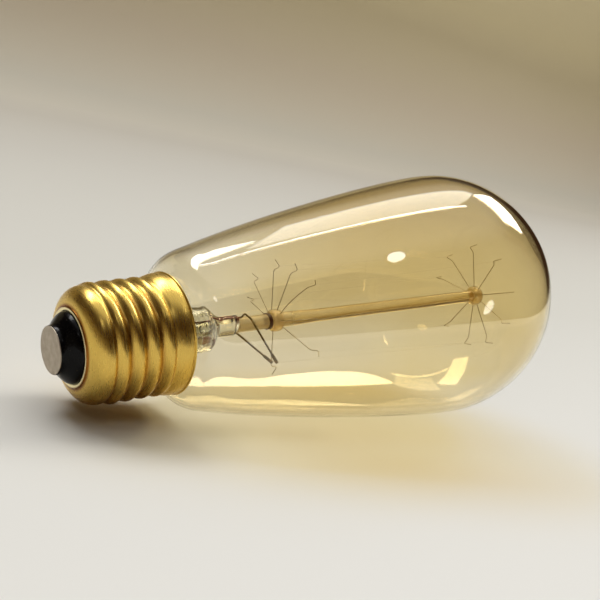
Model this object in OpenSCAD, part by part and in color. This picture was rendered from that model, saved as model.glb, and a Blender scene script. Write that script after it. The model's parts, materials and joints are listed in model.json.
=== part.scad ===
// Clear-glass filament lamp with a screw cap and a squirrel-cage filament, lying on its side
// as it comes to rest by itself. All sizes are in millimetres.
// Heights along the lamp's axis are counted from the outer face of the contact plate.
// Directions around the axis are clock angles: 0 is up, 90 is the front, 180 is down.

/* [Screw cap] */
// Height of the insulator between the contact plate's face and the shell's opening
insulator_h = 4.55; // [3:0.05:7]
// Length of the screw shell from its opening to its rim
shell_l = 22.75; // [21:0.05:27]
// Radius of the shell's opening, where the insulator comes out
opening_r = 8; // [6.5:0.1:9.5]
// Height of the rounded shoulder between the opening and the thread
shoulder_h = 3.6; // [2.5:0.1:4.5]
// Radius over the thread's crests
crest_r = 13.1; // [12.8:0.05:14]
// Depth of the rolled thread
thread_depth = 1; // [0.6:0.05:1.3]
// Pitch of the thread, seven turns to the inch
thread_pitch = 3.629; // [3:0.001:4.2]
// Height of one crest on the upper side, which sets where the thread begins
crest_s = 10; // [8:0.1:12]
// Length of the plain skirt between the thread and the rim
skirt_l = 4; // [3:0.1:5]
// Radius of the skirt where the thread runs out
skirt_r = 12.9; // [12.7:0.05:14]
// Bulge of the skirt between the thread and the rim
skirt_bulge = 0.3; // [0:0.05:0.5]
// Radius of the flared rim
rim_r = 13.4; // [13:0.05:14.5]
// Thickness of the shell's sheet brass
shell_wall = 0.3; // [0.2:0.05:0.4]

/* [Insulator and contact] */
// Radius of the contact plate
contact_r = 5.2; // [4:0.1:6]
// Height of the contact plate's edge, which stands out of the insulator
contact_t = 0.2; // [0.1:0.05:0.6]
// Radius of the stub behind the contact plate
contact_stub_r = 1.3; // [0.8:0.1:2]
// Length of the stub behind the contact plate
contact_stub_l = 1.6; // [1:0.1:2.5]
// Radius of the insulator's nose behind the contact plate
nose_r = 5.6; // [5.4:0.1:6.5]
// Height at which the nose widens into the cone
nose_h = 1.2; // [0.8:0.1:2]
// Depth of the insulator inside the shell
plug_h = 3.4; // [2:0.1:5]

/* [Glass envelope] */
// Largest radius of the glass
envelope_r = 32; // [26:0.5:45]
// Height from the widest place to the tip
dome_h = 31.7; // [20:0.1:45]
// Height from the knee of the shoulder to the widest place
body_l = 73.3; // [60:0.1:95]
// Height of the knee above the shell's rim
knee_h = 8.7; // [7:0.1:12]
// Radius at the knee
knee_r = 19.4; // [17:0.1:24]
// Rise of the outline in radius for each millimetre of height at the knee
knee_slope = 0.27; // [0.15:0.01:0.4]
// Radius of the neck inside the cap
neck_r = 11; // [10:0.1:11.1]
// Depth of the neck inside the cap, below the shell's rim
neck_in = 7; // [5:0.1:9]
// Thickness of the glass
glass_wall = 0.9; // [0.6:0.05:1.2]

/* [Glass stem] */
// Radius of the stem's tube
tube_r = 5.4; // [4.8:0.1:6.5]
// Thickness of the tube's glass
tube_wall = 1; // [0.7:0.1:1.3]
// Height of the trumpet between the seal and the tube
trumpet_h = 9.5; // [7:0.1:12]
// Length of the tube's straight part
tube_l = 6.2; // [5:0.1:12]
// Height of the round top that closes the tube
cap_h = 5.4; // [4:0.1:8]
// Length of the press above the round top
press_l = 4.6; // [3:0.1:7]
// Width of the press, across both wires
press_w = 5.6; // [5.4:0.1:7]
// Thickness of the press
press_t = 3.6; // [3.5:0.1:4.5]
// Clock angle of the first wire in the press
press_clock = 20; // [0:1:90]
// Radius of the exhaust tube
exhaust_r = 1.8; // [1.4:0.1:1.9]
// Radius of the exhaust tube's bore
exhaust_bore_r = 1.1; // [0.6:0.1:1.2]
// Radius of the blow hole in the round top
blow_hole_r = 0.75; // [0.4:0.05:0.9]
// Clock angle of the blow hole past the first wire
blow_hole_turn = 42; // [35:1:90]

/* [Support rod] */
// Radius of the rod's thick foot
foot_r = 1.8; // [1.6:0.05:1.85]
// Length of the thick foot from the press to the collar
foot_l = 8.5; // [5:0.1:10]
// Length of the thick foot beyond the lower button
foot_past = 2.3; // [1:0.1:4]
// Length over which the foot tapers to the rod
taper_l = 8.5; // [3:0.1:12]
// Radius of the rod
rod_r = 1.6; // [1.2:0.05:1.8]
// Length of the rod between the two buttons
rod_span = 65.2; // [50:0.1:75]
// Thickness of the dark collar on the foot
collar_wall = 0.15; // [0.1:0.05:0.4]
// Length of the dark collar on the foot
collar_l = 1; // [0.6:0.1:2]
// Radius of the lower button
lower_button_r = 2.7; // [2.6:0.05:3.2]
// Length of the lower button
lower_button_l = 3.5; // [3.2:0.1:6]
// Radius of the upper button
upper_button_r = 2.6; // [2.4:0.05:3.2]
// Length of the upper button
upper_button_l = 3.2; // [3:0.1:6]
// Lean of the whole stem against the lamp's axis, in degrees
stem_lean = 1.2; // [0:0.1:1.5]
// Clock angle that the stem leans towards
stem_lean_clock = 165; // [0:5:355]

/* [Hooks and filament] */
// Thickness of the hooks' wire
hook_d = 0.3; // [0.2:0.05:0.4]
// Radius at which a hook's straight leg ends
leg_r = 12.3; // [9:0.1:14]
// Depth of each leg in its button
leg_in = 0.6; // [0.4:0.05:0.65]
// Height that an upper leg loses from the button to its end
leg_fall = 0.6; // [0:0.1:1.5]
// Run along the rod of a lower hook's step, from the leg to the corner
lower_step = 1.9; // [1:0.1:2.5]
// Run outwards of a lower hook's end, past the corner
lower_end = 1.9; // [1.2:0.1:3]
// Run along the rod of an upper hook's step, from the leg to the corner
upper_step = 1.5; // [1:0.1:2.5]
// Run along the rod of an upper hook's end, back past the leg
upper_end = 2.8; // [1.5:0.1:4]
// Thickness of the filament
filament_d = 0.08; // [0.05:0.01:0.15]

/* [Lead wires] */
// Distance of each wire from the stem's axis in the press
lead_spread = 2.3; // [2.2:0.05:2.4]
// Thickness of the copper wires inside the stem and the cap
outer_lead_d = 0.35; // [0.25:0.05:0.4]
// Thickness of the wires that are sealed in the press
seal_wire_d = 0.4; // [0.3:0.05:0.5]
// Length of the sealed wires above the press
seal_wire_out = 0.3; // [0.2:0.1:1]
// Thickness of the wires that carry the filament's two ends
inner_lead_d = 0.5; // [0.35:0.05:0.6]
// Thickness of the clamped end of those wires
clamp_d = 0.8; // [0.6:0.05:1]
// Length of the clamped end
clamp_l = 2.6; // [1.5:0.1:4]
// Distance from the stem's axis at which those wires end
inner_lead_r = 10.2; // [8:0.1:12]

/* [Resting place] */
// Rise of the lamp's axis from the cap to the tip as it lies, in degrees
rest_tilt = 10.8; // [0:0.1:15]

/* [Hidden] */
// Clock angles of the hooks in the lower button, in the order that the filament visits them
lower_clocks = [182, 250, 274, 304, 338, 366, 393, 430, 467];
// Height of each lower leg's root above the button's middle, and what the leg gains to its end,
// as set and bent by hand
lower_roots = [-0.2, -0.6, -0.6, -0.7, -0.7, 0, 0.4, 0.3, 0.4];
lower_rises = [1, 1.4, 1.4, 0.4, 2, 2.1, 3.2, 0.7, 2.3];
// How far the middle of each lower leg bows back towards the press
lower_bows = [0, 0, 0, 0, 0, 0, 0.9, 2.2, 0];
// Clock angles of the hooks in the upper button, one more than the lower ones
upper_clocks = [174, 213, 244, 275, 307, 348, 388, 428, 464, 500];
// Bends of the two inner leads: clock angle past the lead's own in the press, distance out, height
first_bends = [[2, 1.2, 1.3], [28, 0.9, 2.5]];
second_bends = [[0, 0.7, 1.6]];
// Clock angle and height above the press of the two inner leads' ends; the filament runs
// from the second to the first
first_end = [150, 9.5];
second_end = [166, 10];

// The thread begins at this share of the shoulder's height, and grows and dies over these shares
// of its pitch; its middle radius runs into the skirt's over the last share of its height
thread_from = 1.04;
thread_grow = 0.3;
thread_die = 0.3;
skirt_blend = 0.125;
// The centre wire leaves the stem this far above the exhaust tube's end, draws in to this share
// of its spread there, and turns into the stub this far above the insulator
centre_wire_rise = 6;
centre_wire_in = 0.8;
centre_wire_turn = 1.5;
// The side wire turns out at this share of the neck's radius, rounds its corner over this length,
// and leans out to the rim this far below it
side_wire_out = 0.6;
side_wire_corner = 0.6;
side_wire_lean = 2.8;

// Height above the neck's end at which the side wire starts its turn
side_wire_drop = 2;
// Rounding of the contact plate's edge as a share of its height, and ledge of the nose around it
contact_round = 0.5;
nose_ledge = 0.1;
// The insulator's cone bends towards the opening at these shares of its run outwards and of its height
cone_out = 0.85;
cone_up = 0.54;
// Radius of the solder bead, and how far its middle lies outside and below the rim's edge
bead_r = 1.1;
bead_off = 0.2;
// The cement starts at this share of the skirt and ends this far below the rim; the glass outline's
// own points join its inside this far from both ends
cement_low = 0.1;
cement_below = 0.3;
cement_edge = 0.1;
// Share of its height that the stem's round top is thick, and share of that thickness at which
// the blow hole leaves it
cap_share = 0.7;
blow_hole_share = 0.3;
// Inner narrowing of the tube's bore at its closed end
bore_corner = 1;
// Share of its thickness by which the trumpet's inner edge lies lower than its outer one
trumpet_lip = 0.8;
// Length of the sealed wires below the round top
seal_wire_in = 1;
// The exhaust tube's tip, in shares of its radius: width and height of the nipple, height of the
// bore's end, and depth of the bore's point
nipple_r = 0.45;
nipple_h = 0.2;
tip_h = 2;
tip_point = 0.5;

// Gap between glass, brass and wires that are fused, cemented or pressed together
seat_gap = 0.05;
// Gap between the stem's edge and the neck that it is sealed in
seal_gap = 0.3;
// Rounding of the buttons' edges
button_round = 1.3;
// Run outwards of a lower hook's step, and of an upper hook's step and end
lower_step_out = 0.5;
upper_step_out = 1.5;
upper_end_out = 0.6;
// Run back of a lower hook's end
lower_end_back = 1.2;
// Height of the exhaust tube's end over the insulator, and of the neck over the side wire's turn
exhaust_rise = 5;
wire_room = 2.5;
// The shoulder leaves the neck this far below the rim, and is steepest at a point this far
// outside the neck and this far above the rim, where it gains this much radius per height
blend_below = 3.1;
steep_out = 4.2;
steep_above = 1.4;
steep_slope = 3;
// Lengths of the handles that shape the shoulder, and those of the body as shares of its height
blend_pull = 2.4;
knee_pull = 3;
lower_pull = 0.295;
upper_pull = 0.146;
// Flat steps in a quarter of a round outline
arc_steps = 10;
// Steps in each curve of the glass outline
curve_steps = 12;
// Columns around the thread, rows in each turn of it, and rows in the skirt
thread_cols = 32;
thread_rows = 8;
skirt_rows = 6;
// Sides of a wire
wire_sides = 8;
// Overshoot of a cut past the face that it opens
cut = 0.5;
// Room inside the shell for the flats between its columns
flat_gap = seat_gap + crest_r * (1 - cos(180 / thread_cols));
$fn = 48;

// Heights along the lamp's axis
rim_s = insulator_h + shell_l;
thread_end_s = rim_s - skirt_l;
neck_end_s = rim_s - neck_in;
knee_s = rim_s + knee_h;
widest_s = knee_s + body_l;
plug_s = insulator_h + plug_h;
// Heights along the stem's own axis, which leans about the seal
tube_s = neck_end_s + trumpet_h;
tube_end_s = tube_s + tube_l;
cap_wall = cap_h * cap_share;
press_s = tube_end_s + cap_h;
ceiling_s = press_s - cap_wall;
press_top_s = press_s + press_l;
collar_s = press_top_s + foot_l;
lower_button_s = collar_s + collar_l;
lower_button_end_s = lower_button_s + lower_button_l;
taper_s = lower_button_end_s + foot_past;
upper_button_s = lower_button_end_s + rod_span;
rod_end_s = upper_button_s + upper_button_l / 2;
seal_wire_bottom_s = ceiling_s - seal_wire_in;
seal_wire_top_s = press_top_s + seal_wire_out;
exhaust_tip_s = plug_s + exhaust_rise;
// Radii that follow from others
thread_mean_r = crest_r - thread_depth / 2;
seal_r = neck_r - glass_wall - seal_gap;
// The side wire runs half-way between the neck and the thread's roots
side_wire_r = (neck_r + crest_r - thread_depth - shell_wall) / 2;
side_clock = press_clock + 180;
stub_end_s = contact_t + contact_stub_l;

lower_hook_names = [for (i = [1:len(lower_clocks)]) str("lower_hook_", i)];
upper_hook_names = [for (i = [1:len(upper_clocks)]) str("upper_hook_", i)];

// A point from its clock angle, its distance from the axis and its height
function at(clock, r, s) = [r * cos(clock), r * sin(clock), s];

// A point of the stem moved to where the stem's lean puts it
stem_foot = [0, 0, neck_end_s];
lean_axis = [-sin(stem_lean_clock), cos(stem_lean_clock), 0];
function leaned(p) = let (q = p - stem_foot)
    stem_foot + q * cos(stem_lean) + cross(lean_axis, q) * sin(stem_lean)
    + lean_axis * (lean_axis * q) * (1 - cos(stem_lean));

// Points of a cubic curve with ends a and d and handles b and c
function curve(a, b, c, d) = [for (i = [1:curve_steps]) let (t = i / curve_steps)
    a * pow(1 - t, 3) + b * 3 * t * pow(1 - t, 2) + c * 3 * t * t * (1 - t) + d * pow(t, 3)];

// Outer outline of the glass as radius and height, from the neck's end to the tip
blend_s = rim_s - blend_below;
steep = [neck_r + steep_out, rim_s + steep_above];
steep_run = [steep_slope, 1];
knee = [knee_r, knee_s];
knee_run = [knee_slope, 1];
widest = [envelope_r, widest_s];
glass_outline = concat(
    [[neck_r, neck_end_s], [neck_r, blend_s]],
    curve([neck_r, blend_s], [neck_r, blend_s + blend_pull], steep - steep_run, steep),
    curve(steep, steep + steep_run, knee - knee_run * knee_pull, knee),
    curve(knee, knee + knee_run * body_l * lower_pull, widest - [0, body_l * upper_pull], widest),
    [for (i = [1:2 * arc_steps]) let (a = i * 45 / arc_steps)
        [envelope_r * cos(a) * (i < 2 * arc_steps ? 1 : 0), widest_s + dome_h * sin(a)]]
);

// An outline moved sideways along its normals, inwards for a positive distance
function moved(line, d) = [for (i = [0:len(line) - 1]) let (
        before = line[max(i - 1, 0)],
        after = line[min(i + 1, len(line) - 1)],
        along = after - before,
        p = line[i] + [-along[1], along[0]] * d / norm(along))
    i == len(line) - 1 ? [0, line[i][1] - d] : i == 0 ? [p[0], line[i][1]] : p];

// Base outline of the shell as radius, height and the direction of its outside in degrees
shoulder_line = [for (i = [0:6]) let (a = i * 15)
    [opening_r + (thread_mean_r - opening_r) * sin(a), insulator_h + shoulder_h * (1 - cos(a)), a - 90]];
thread_row_count = ceil((thread_end_s - insulator_h - shoulder_h) * thread_rows / thread_pitch);
thread_line = [for (i = [1:thread_row_count])
    let (t = i / thread_row_count)
    [thread_mean_r + (skirt_r - thread_mean_r) * max(0, 1 - (1 - t) / skirt_blend),
        insulator_h + shoulder_h + (thread_end_s - insulator_h - shoulder_h) * t, 0]];
// Radius of the skirt's outside at a height
function skirt_out(s) = let (t = (s - thread_end_s) / skirt_l)
    skirt_r + (rim_r - skirt_r) * t + skirt_bulge * sin(180 * t);
skirt_line = [for (i = [1:skirt_rows]) let (s = thread_end_s + skirt_l * i / skirt_rows)
    [skirt_out(s), s, 0]];
shell_line = concat(shoulder_line, thread_line, skirt_line);

// Share of the thread's full depth at a height: it grows over the shoulder and dies at the skirt
function thread_share(s) = let (
        start = insulator_h + shoulder_h * thread_from,
        grown = (s - start) / (thread_pitch * thread_grow),
        left = (thread_end_s - s) / (thread_pitch * thread_die))
    max(0, min(1, grown, left));

// Point of the shell at a row and a column, at a depth under its outside
function shell_point(row, column, depth) = let (
        clock = column * 360 / thread_cols,
        s = row[1],
        turn = (s - crest_s) / thread_pitch * 360 - clock,
        r = row[0] + thread_depth / 2 * thread_share(s) * cos(turn))
    at(clock, r - depth * cos(row[2]), s - depth * sin(row[2]));

// Two grids of points, outer and inner, joined at both ends into one thin wall
module thin_wall(outer, inner) {
    rows = len(outer);
    cols = len(outer[0]);
    points = [for (grid = [outer, inner], row = grid, p = row) p];
    function index(side, i, j) = side * rows * cols + i * cols + j % cols;
    outside = [for (i = [0:rows - 2], j = [0:cols - 1])
        each [[index(0, i, j), index(0, i + 1, j), index(0, i + 1, j + 1)],
              [index(0, i, j), index(0, i + 1, j + 1), index(0, i, j + 1)]]];
    inside = [for (i = [0:rows - 2], j = [0:cols - 1])
        each [[index(1, i, j), index(1, i + 1, j + 1), index(1, i + 1, j)],
              [index(1, i, j), index(1, i, j + 1), index(1, i + 1, j + 1)]]];
    ends = [for (i = [0, rows - 1], j = [0:cols - 1]) let (
            a = index(0, i, j), b = index(0, i, j + 1),
            c = index(1, i, j + 1), d = index(1, i, j))
        each i == 0 ? [[a, b, c], [a, c, d]] : [[a, c, b], [a, d, c]]];
    polyhedron(points, concat(outside, inside, ends));
}

// Two directions square to a wire's run and to each other
function side_of(d) = let (v = cross(d, abs(d[0]) < 0.8 * norm(d) ? [1, 0, 0] : [0, 1, 0])) v / norm(v);

// Ring of points around one point of a wire, in the plane that halves the bend there
function wire_ring(points, i, d) = let (
        before = points[max(i - 1, 0)],
        here = points[i],
        after = points[min(i + 1, len(points) - 1)],
        run_in = i == 0 ? after - here : here - before,
        run_out = i == len(points) - 1 ? run_in : after - here,
        along = run_in / norm(run_in),
        half = along + run_out / norm(run_out),
        first = side_of(points[1] - points[0]),
        side = first - along * (first * along),
        u = side / norm(side),
        v = cross(along, u))
    [for (k = [0:wire_sides - 1]) let (
            q = (u * cos(k * 360 / wire_sides) + v * sin(k * 360 / wire_sides)) * d / 2)
        here + q - along * (q * half) / (along * half)];

// A wire of thickness d along a line of points, with its last stretch end_d thick
module wire(points, d, end_d) {
    last = len(points) - 1;
    rings = [for (i = [0:last]) wire_ring(points, i, i < last - 1 ? d : end_d)];
    flat = [for (ring = rings, p = ring) p];
    function index(i, k) = i * wire_sides + k % wire_sides;
    sides = [for (i = [0:last - 1], k = [0:wire_sides - 1])
        each [[index(i, k), index(i + 1, k), index(i + 1, k + 1)],
              [index(i, k), index(i + 1, k + 1), index(i, k + 1)]]];
    start = [for (k = [1:wire_sides - 2]) [index(0, 0), index(0, k), index(0, k + 1)]];
    end = [for (k = [1:wire_sides - 2]) [index(last, 0), index(last, k + 1), index(last, k)]];
    polyhedron(flat, concat(sides, start, end));
}

// A straight round bar from a to b
module bar(a, b, r) {
    d = b - a;
    translate(a)
        rotate([0, acos(d[2] / norm(d)), atan2(d[1], d[0])])
            cylinder(r = r, h = norm(d));
}

// Puts children that stand on the lamp's axis into the lying lamp's place
lie_x = [for (p = concat(glass_outline, [[contact_r, 0], [rim_r, rim_s]])) each
    [p[1] * cos(rest_tilt) - p[0] * sin(rest_tilt), p[1] * cos(rest_tilt) + p[0] * sin(rest_tilt)]];
lie_z = [for (p = concat(glass_outline, [for (row = shell_line) [crest_r, row[1]]]))
    p[1] * sin(rest_tilt) - p[0] * cos(rest_tilt)];
module lying() {
    translate([-(min(lie_x) + max(lie_x)) / 2, 0, -min(lie_z)])
        rotate([0, 90 - rest_tilt, 0])
            rotate([0, 0, 180])
                children();
}

// Leans children that stand on the stem's axis
module on_stem() {
    translate(stem_foot)
        rotate(stem_lean, lean_axis)
            translate(-stem_foot)
                children();
}

// The glass and all that is inside it as one solid, grown by a gap, to cut a seat with
module glass_body(gap) {
    rotate_extrude()
        polygon(concat([[0, neck_end_s]], moved(glass_outline, -gap)));
}

module glass_envelope() {
    inner = moved(glass_outline, glass_wall);
    color([0.93, 0.82, 0.6, 0.35])
        lying()
            rotate_extrude()
                polygon(concat(glass_outline, [for (i = [len(inner) - 1:-1:0]) inner[i]]));
}

module screw_shell() {
    outer = [for (row = shell_line) [for (j = [0:thread_cols - 1]) shell_point(row, j, 0)]];
    inner = [for (row = shell_line) [for (j = [0:thread_cols - 1]) shell_point(row, j, shell_wall)]];
    color([0.8, 0.6, 0.25])
        lying()
            thin_wall(outer, inner);
}

// The black glass that fills the shell's end: a nose and a cone outside, and a rounded plug inside
module base_insulator() {
    plug_depth = shell_wall + flat_gap;
    plug_line = [for (row = shoulder_line) if (row[1] - plug_depth * sin(row[2]) < plug_s)
        [row[0] - plug_depth * cos(row[2]) - thread_depth / 2 * thread_share(row[1]),
         row[1] - plug_depth * sin(row[2])]];
    last = plug_line[len(plug_line) - 1];
    face_s = contact_t + seat_gap;
    cone_r = opening_r - seat_gap;
    hole_r = outer_lead_d / 2 + seat_gap * 2;
    color([0.05, 0.05, 0.05])
        lying()
            difference() {
                rotate_extrude()
                    polygon(concat(
                        [[0, face_s], [contact_r + nose_ledge, face_s], [nose_r, nose_h],
                         [nose_r + (cone_r - nose_r) * cone_out, nose_h + (insulator_h - nose_h) * cone_up],
                         [cone_r, insulator_h], [cone_r, plug_line[0][1]]],
                        plug_line,
                        [[last[0], plug_s], [0, plug_s]]));
                translate([0, 0, -cut])
                    cylinder(r = contact_stub_r + seat_gap, h = stub_end_s + cut + seat_gap);
                cylinder(r = hole_r, h = plug_s + cut);
            }
}

// The centre contact: a plate with a rounded edge and a stub that takes the centre wire
module contact_plate() {
    edge = contact_t * contact_round;
    color([0.74, 0.7, 0.64])
        lying()
            rotate_extrude()
                polygon(concat(
                    [[0, 0]],
                    [for (i = [0:5]) let (a = i * 18)
                        [contact_r - edge + edge * sin(a), edge - edge * cos(a)]],
                    [[contact_r, contact_t], [contact_stub_r, contact_t],
                     [contact_stub_r, stub_end_s], [0, stub_end_s]]));
}

// Points of the wire that runs to the centre contact
centre_wire = [
    leaned(at(press_clock, lead_spread, seal_wire_bottom_s - seat_gap)),
    leaned(at(press_clock, lead_spread, exhaust_tip_s + centre_wire_rise)),
    at(press_clock, lead_spread * centre_wire_in, exhaust_tip_s),
    [0, 0, plug_s + centre_wire_turn],
    [0, 0, stub_end_s + seat_gap]
];

// Points of the wire that runs around the neck's end and up between the glass and the shell's rim
rim_wire_r = rim_r - shell_wall - outer_lead_d / 2 - flat_gap;
under_neck_s = neck_end_s - wire_room;
side_wire = [
    leaned(at(side_clock, lead_spread, seal_wire_bottom_s - seat_gap)),
    leaned(at(side_clock, lead_spread, neck_end_s + side_wire_drop)),
    at(side_clock, neck_r * side_wire_out, under_neck_s),
    at(side_clock, side_wire_r - side_wire_corner, under_neck_s),
    at(side_clock, side_wire_r, under_neck_s + side_wire_corner),
    at(side_clock, side_wire_r, rim_s - side_wire_lean),
    at(side_clock, rim_wire_r, rim_s)
];

// The ring of cement that holds the shell on the neck, with the side wire's groove
module capping_cement() {
    channel_r = outer_lead_d / 2 + seat_gap;
    low_s = thread_end_s + skirt_l * cement_low;
    high_s = rim_s - cement_below;
    glass_side = moved(glass_outline, -seat_gap);
    glass_table = [for (p = glass_side) [p[1], p[0]]];
    function glass_side_r(s) = lookup(s, glass_table);
    color([0.72, 0.68, 0.6])
        lying()
            difference() {
                rotate_extrude()
                    polygon(concat(
                        [for (i = [skirt_rows:-1:0]) let (s = low_s + (high_s - low_s) * i / skirt_rows)
                            [skirt_out(s) - shell_wall - flat_gap, s]],
                        [[glass_side_r(low_s), low_s]],
                        [for (p = glass_side) if (p[1] > low_s + cement_edge && p[1] < high_s - cement_edge) p],
                        [[glass_side_r(high_s), high_s]]));
                rotate([0, 0, side_clock])
                    translate([side_wire_r - channel_r, -channel_r, low_s - cut])
                        cube([rim_r - side_wire_r, channel_r * 2, high_s - low_s + cut * 2]);
            }
}

// The trumpet, tube and press: one piece of glass with bores for the two wires and the air
module stem_flare() {
    trumpet = [for (i = [0:arc_steps]) let (a = i * 90 / arc_steps)
        [tube_r + (seal_r - tube_r) * (1 - sin(a)), neck_end_s + trumpet_h * (1 - cos(a))]];
    top = [for (i = [0:arc_steps]) let (t = i / arc_steps)
        [press_t / 2 + (tube_r - press_t / 2) * (1 + cos(t * 180)) / 2, tube_end_s + cap_h * t]];
    bore_r = tube_r - tube_wall;
    bore = [for (i = [arc_steps:-1:0]) let (a = i * 90 / arc_steps)
        [bore_r + (seal_r - tube_r) * (1 - sin(a)),
         neck_end_s + trumpet_h * (1 - cos(a)) - tube_wall * cos(a) * trumpet_lip]];
    wire_r = seal_wire_d / 2 + seat_gap;
    blow_hole_s = ceiling_s + cap_wall * blow_hole_share;
    color([0.9, 0.9, 0.85, 0.5])
        lying()
            on_stem()
                difference() {
                    union() {
                        rotate_extrude()
                            polygon(concat(trumpet, top, [[0, press_s], [0, ceiling_s],
                                [bore_r - bore_corner, ceiling_s], [bore_r, tube_end_s]], bore));
                        rotate([0, 0, press_clock])
                            translate([0, 0, press_s - cap_wall / 2])
                                linear_extrude(cap_wall / 2 + press_l) {
                                    square([press_w - press_t, press_t], center = true);
                                    for (x = [-1, 1])
                                        translate([x * (press_w - press_t) / 2, 0])
                                            circle(d = press_t);
                                }
                    }
                    for (clock = [press_clock, side_clock])
                        translate(at(clock, lead_spread, ceiling_s - cut))
                            cylinder(r = wire_r, h = press_top_s - ceiling_s + cut * 2);
                    translate([0, 0, ceiling_s - cut])
                        cylinder(r = exhaust_bore_r, h = cap_wall / 2 + cut);
                    bar(at(0, 0, blow_hole_s), at(press_clock + blow_hole_turn, tube_r, blow_hole_s),
                        blow_hole_r);
                }
}

// The exhaust tube inside the stem, tipped off at its lower end
module exhaust_tube() {
    bore_end_s = exhaust_tip_s + exhaust_r * tip_h;
    color([0.88, 0.9, 0.86, 0.5])
        lying()
            on_stem()
                rotate_extrude()
                    polygon([[0, exhaust_tip_s], [exhaust_r * nipple_r, exhaust_tip_s + exhaust_r * nipple_h],
                        [exhaust_r, bore_end_s], [exhaust_r, ceiling_s - seat_gap],
                        [exhaust_bore_r, ceiling_s - seat_gap], [exhaust_bore_r, bore_end_s],
                        [0, bore_end_s - exhaust_r * tip_point]]);
}

// The glass rod with its thick foot, from the press through the lower button into the upper one
module support_rod() {
    color([0.78, 0.55, 0.35, 0.7])
        lying()
            on_stem()
                rotate_extrude()
                    polygon([[0, press_top_s + seat_gap], [foot_r, press_top_s + seat_gap],
                        [foot_r, taper_s], [rod_r, taper_s + taper_l], [rod_r, rod_end_s], [0, rod_end_s]]);
}

// The dark band around the foot, against the lower button
module rod_collar() {
    color([0.35, 0.12, 0.06])
        lying()
            on_stem()
                difference() {
                    translate([0, 0, collar_s])
                        cylinder(r = foot_r + seat_gap + collar_wall, h = collar_l - seat_gap);
                    translate([0, 0, collar_s - cut])
                        cylinder(r = foot_r + seat_gap, h = collar_l + cut * 2);
                }
}

// Outline of a button: a barrel with rounded edges from height s
function button_line(r, l, s) = concat(
    [[0, s]],
    [for (i = [0:4]) let (a = i * 22.5)
        [r - button_round + button_round * sin(a), s + button_round - button_round * cos(a)]],
    [for (i = [0:4]) let (a = i * 22.5)
        [r - button_round + button_round * cos(a), s + l - button_round + button_round * sin(a)]],
    [[0, s + l]]
);

// Points of one hook: the leg out of its button with its middle bowed back, the step to the corner
// that holds the filament, and the end. step and end are runs outwards and along the rod.
function hook_line(clock, button_r, s, rise, bow, step, end) = [
    at(clock, button_r - leg_in, s),
    at(clock, (button_r - leg_in + leg_r) / 2, s + rise / 2 - bow),
    at(clock, leg_r, s + rise),
    at(clock, leg_r + step[0], s + rise + step[1]),
    at(clock, leg_r + step[0] + end[0], s + rise + step[1] + end[1])
];
lower_hook_s = lower_button_s + lower_button_l / 2;
upper_hook_s = upper_button_s + upper_button_l / 2;
function lower_hook_line(i) = hook_line(lower_clocks[i], lower_button_r,
    lower_hook_s + lower_roots[i], lower_rises[i], lower_bows[i],
    [lower_step_out, lower_step], [lower_end, -lower_end_back]);
function upper_hook_line(i) = hook_line(upper_clocks[i], upper_button_r, upper_hook_s,
    -leg_fall, 0, [upper_step_out, -upper_step], [upper_end_out, upper_end]);

// A button with a bore of radius r for the rod up to height top, and a bore for each hook's leg
module button(line, lines, r, top) {
    difference() {
        rotate_extrude()
            polygon(line);
        translate([0, 0, line[0][1] - cut])
            cylinder(r = r + seat_gap, h = top - line[0][1] + cut);
        for (hook = lines)
            bar(hook[0] - (hook[1] - hook[0]) / norm(hook[1] - hook[0]) * seat_gap, hook[1],
                hook_d / 2 + seat_gap);
    }
}

module lower_button() {
    color([0.8, 0.6, 0.4, 0.7])
        lying()
            on_stem()
                button(button_line(lower_button_r, lower_button_l, lower_button_s),
                    [for (i = [0:len(lower_clocks) - 1]) lower_hook_line(i)],
                    foot_r, lower_button_end_s + cut);
}

module upper_button() {
    color([0.8, 0.6, 0.4, 0.7])
        lying()
            on_stem()
                button(button_line(upper_button_r, upper_button_l, upper_button_s),
                    [for (i = [0:len(upper_clocks) - 1]) upper_hook_line(i)],
                    rod_r, rod_end_s + seat_gap);
}

module hook(line) {
    color([0.45, 0.4, 0.36])
        lying()
            on_stem()
                wire(line, hook_d, hook_d);
}

// Place in a hook's corner where the filament rests, to one side of the hook's wire
function notch(line, side) = let (
        reach = (hook_d + filament_d) / 2 + seat_gap,
        leg = line[2],
        corner = line[3],
        tip = line[4],
        back = (leg - corner) / norm(leg - corner),
        out = (tip - corner) / norm(tip - corner),
        half = (back + out) / norm(back + out),
        across = cross(out, back) / norm(cross(out, back)),
        radial = tip - line[0],
        around = cross([0, 0, 1], radial) / norm(cross([0, 0, 1], radial)))
    corner + half * reach / sqrt(1 - pow(half * out, 2))
    + across * (across * around > 0 ? side : -side) * reach;

// Points of an inner lead: up from its seal wire, round its bends and out to the filament's end,
// with two points that start the clamped end
function inner_lead_line(clock, bends, end) = let (
        corners = [for (b = bends) at(clock + b[0], lead_spread + b[1], press_top_s + b[2])],
        tip = at(end[0], inner_lead_r, press_top_s + end[1]),
        from = corners[len(corners) - 1],
        along = (tip - from) / norm(tip - from))
    concat([at(clock, lead_spread, seal_wire_top_s + seat_gap),
            at(clock, lead_spread, seal_wire_top_s + inner_lead_d)],
        corners,
        [tip - along * (clamp_l + clamp_d / 4), tip - along * clamp_l, tip]);
first_lead = inner_lead_line(press_clock, first_bends, first_end);
second_lead = inner_lead_line(side_clock, second_bends, second_end);

// Where the filament leaves a lead's end: just past the lead's tip
function lead_tip(line) = let (tip = line[len(line) - 1], from = line[len(line) - 2])
    tip + (tip - from) / norm(tip - from) * seat_gap * 2;

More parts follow.
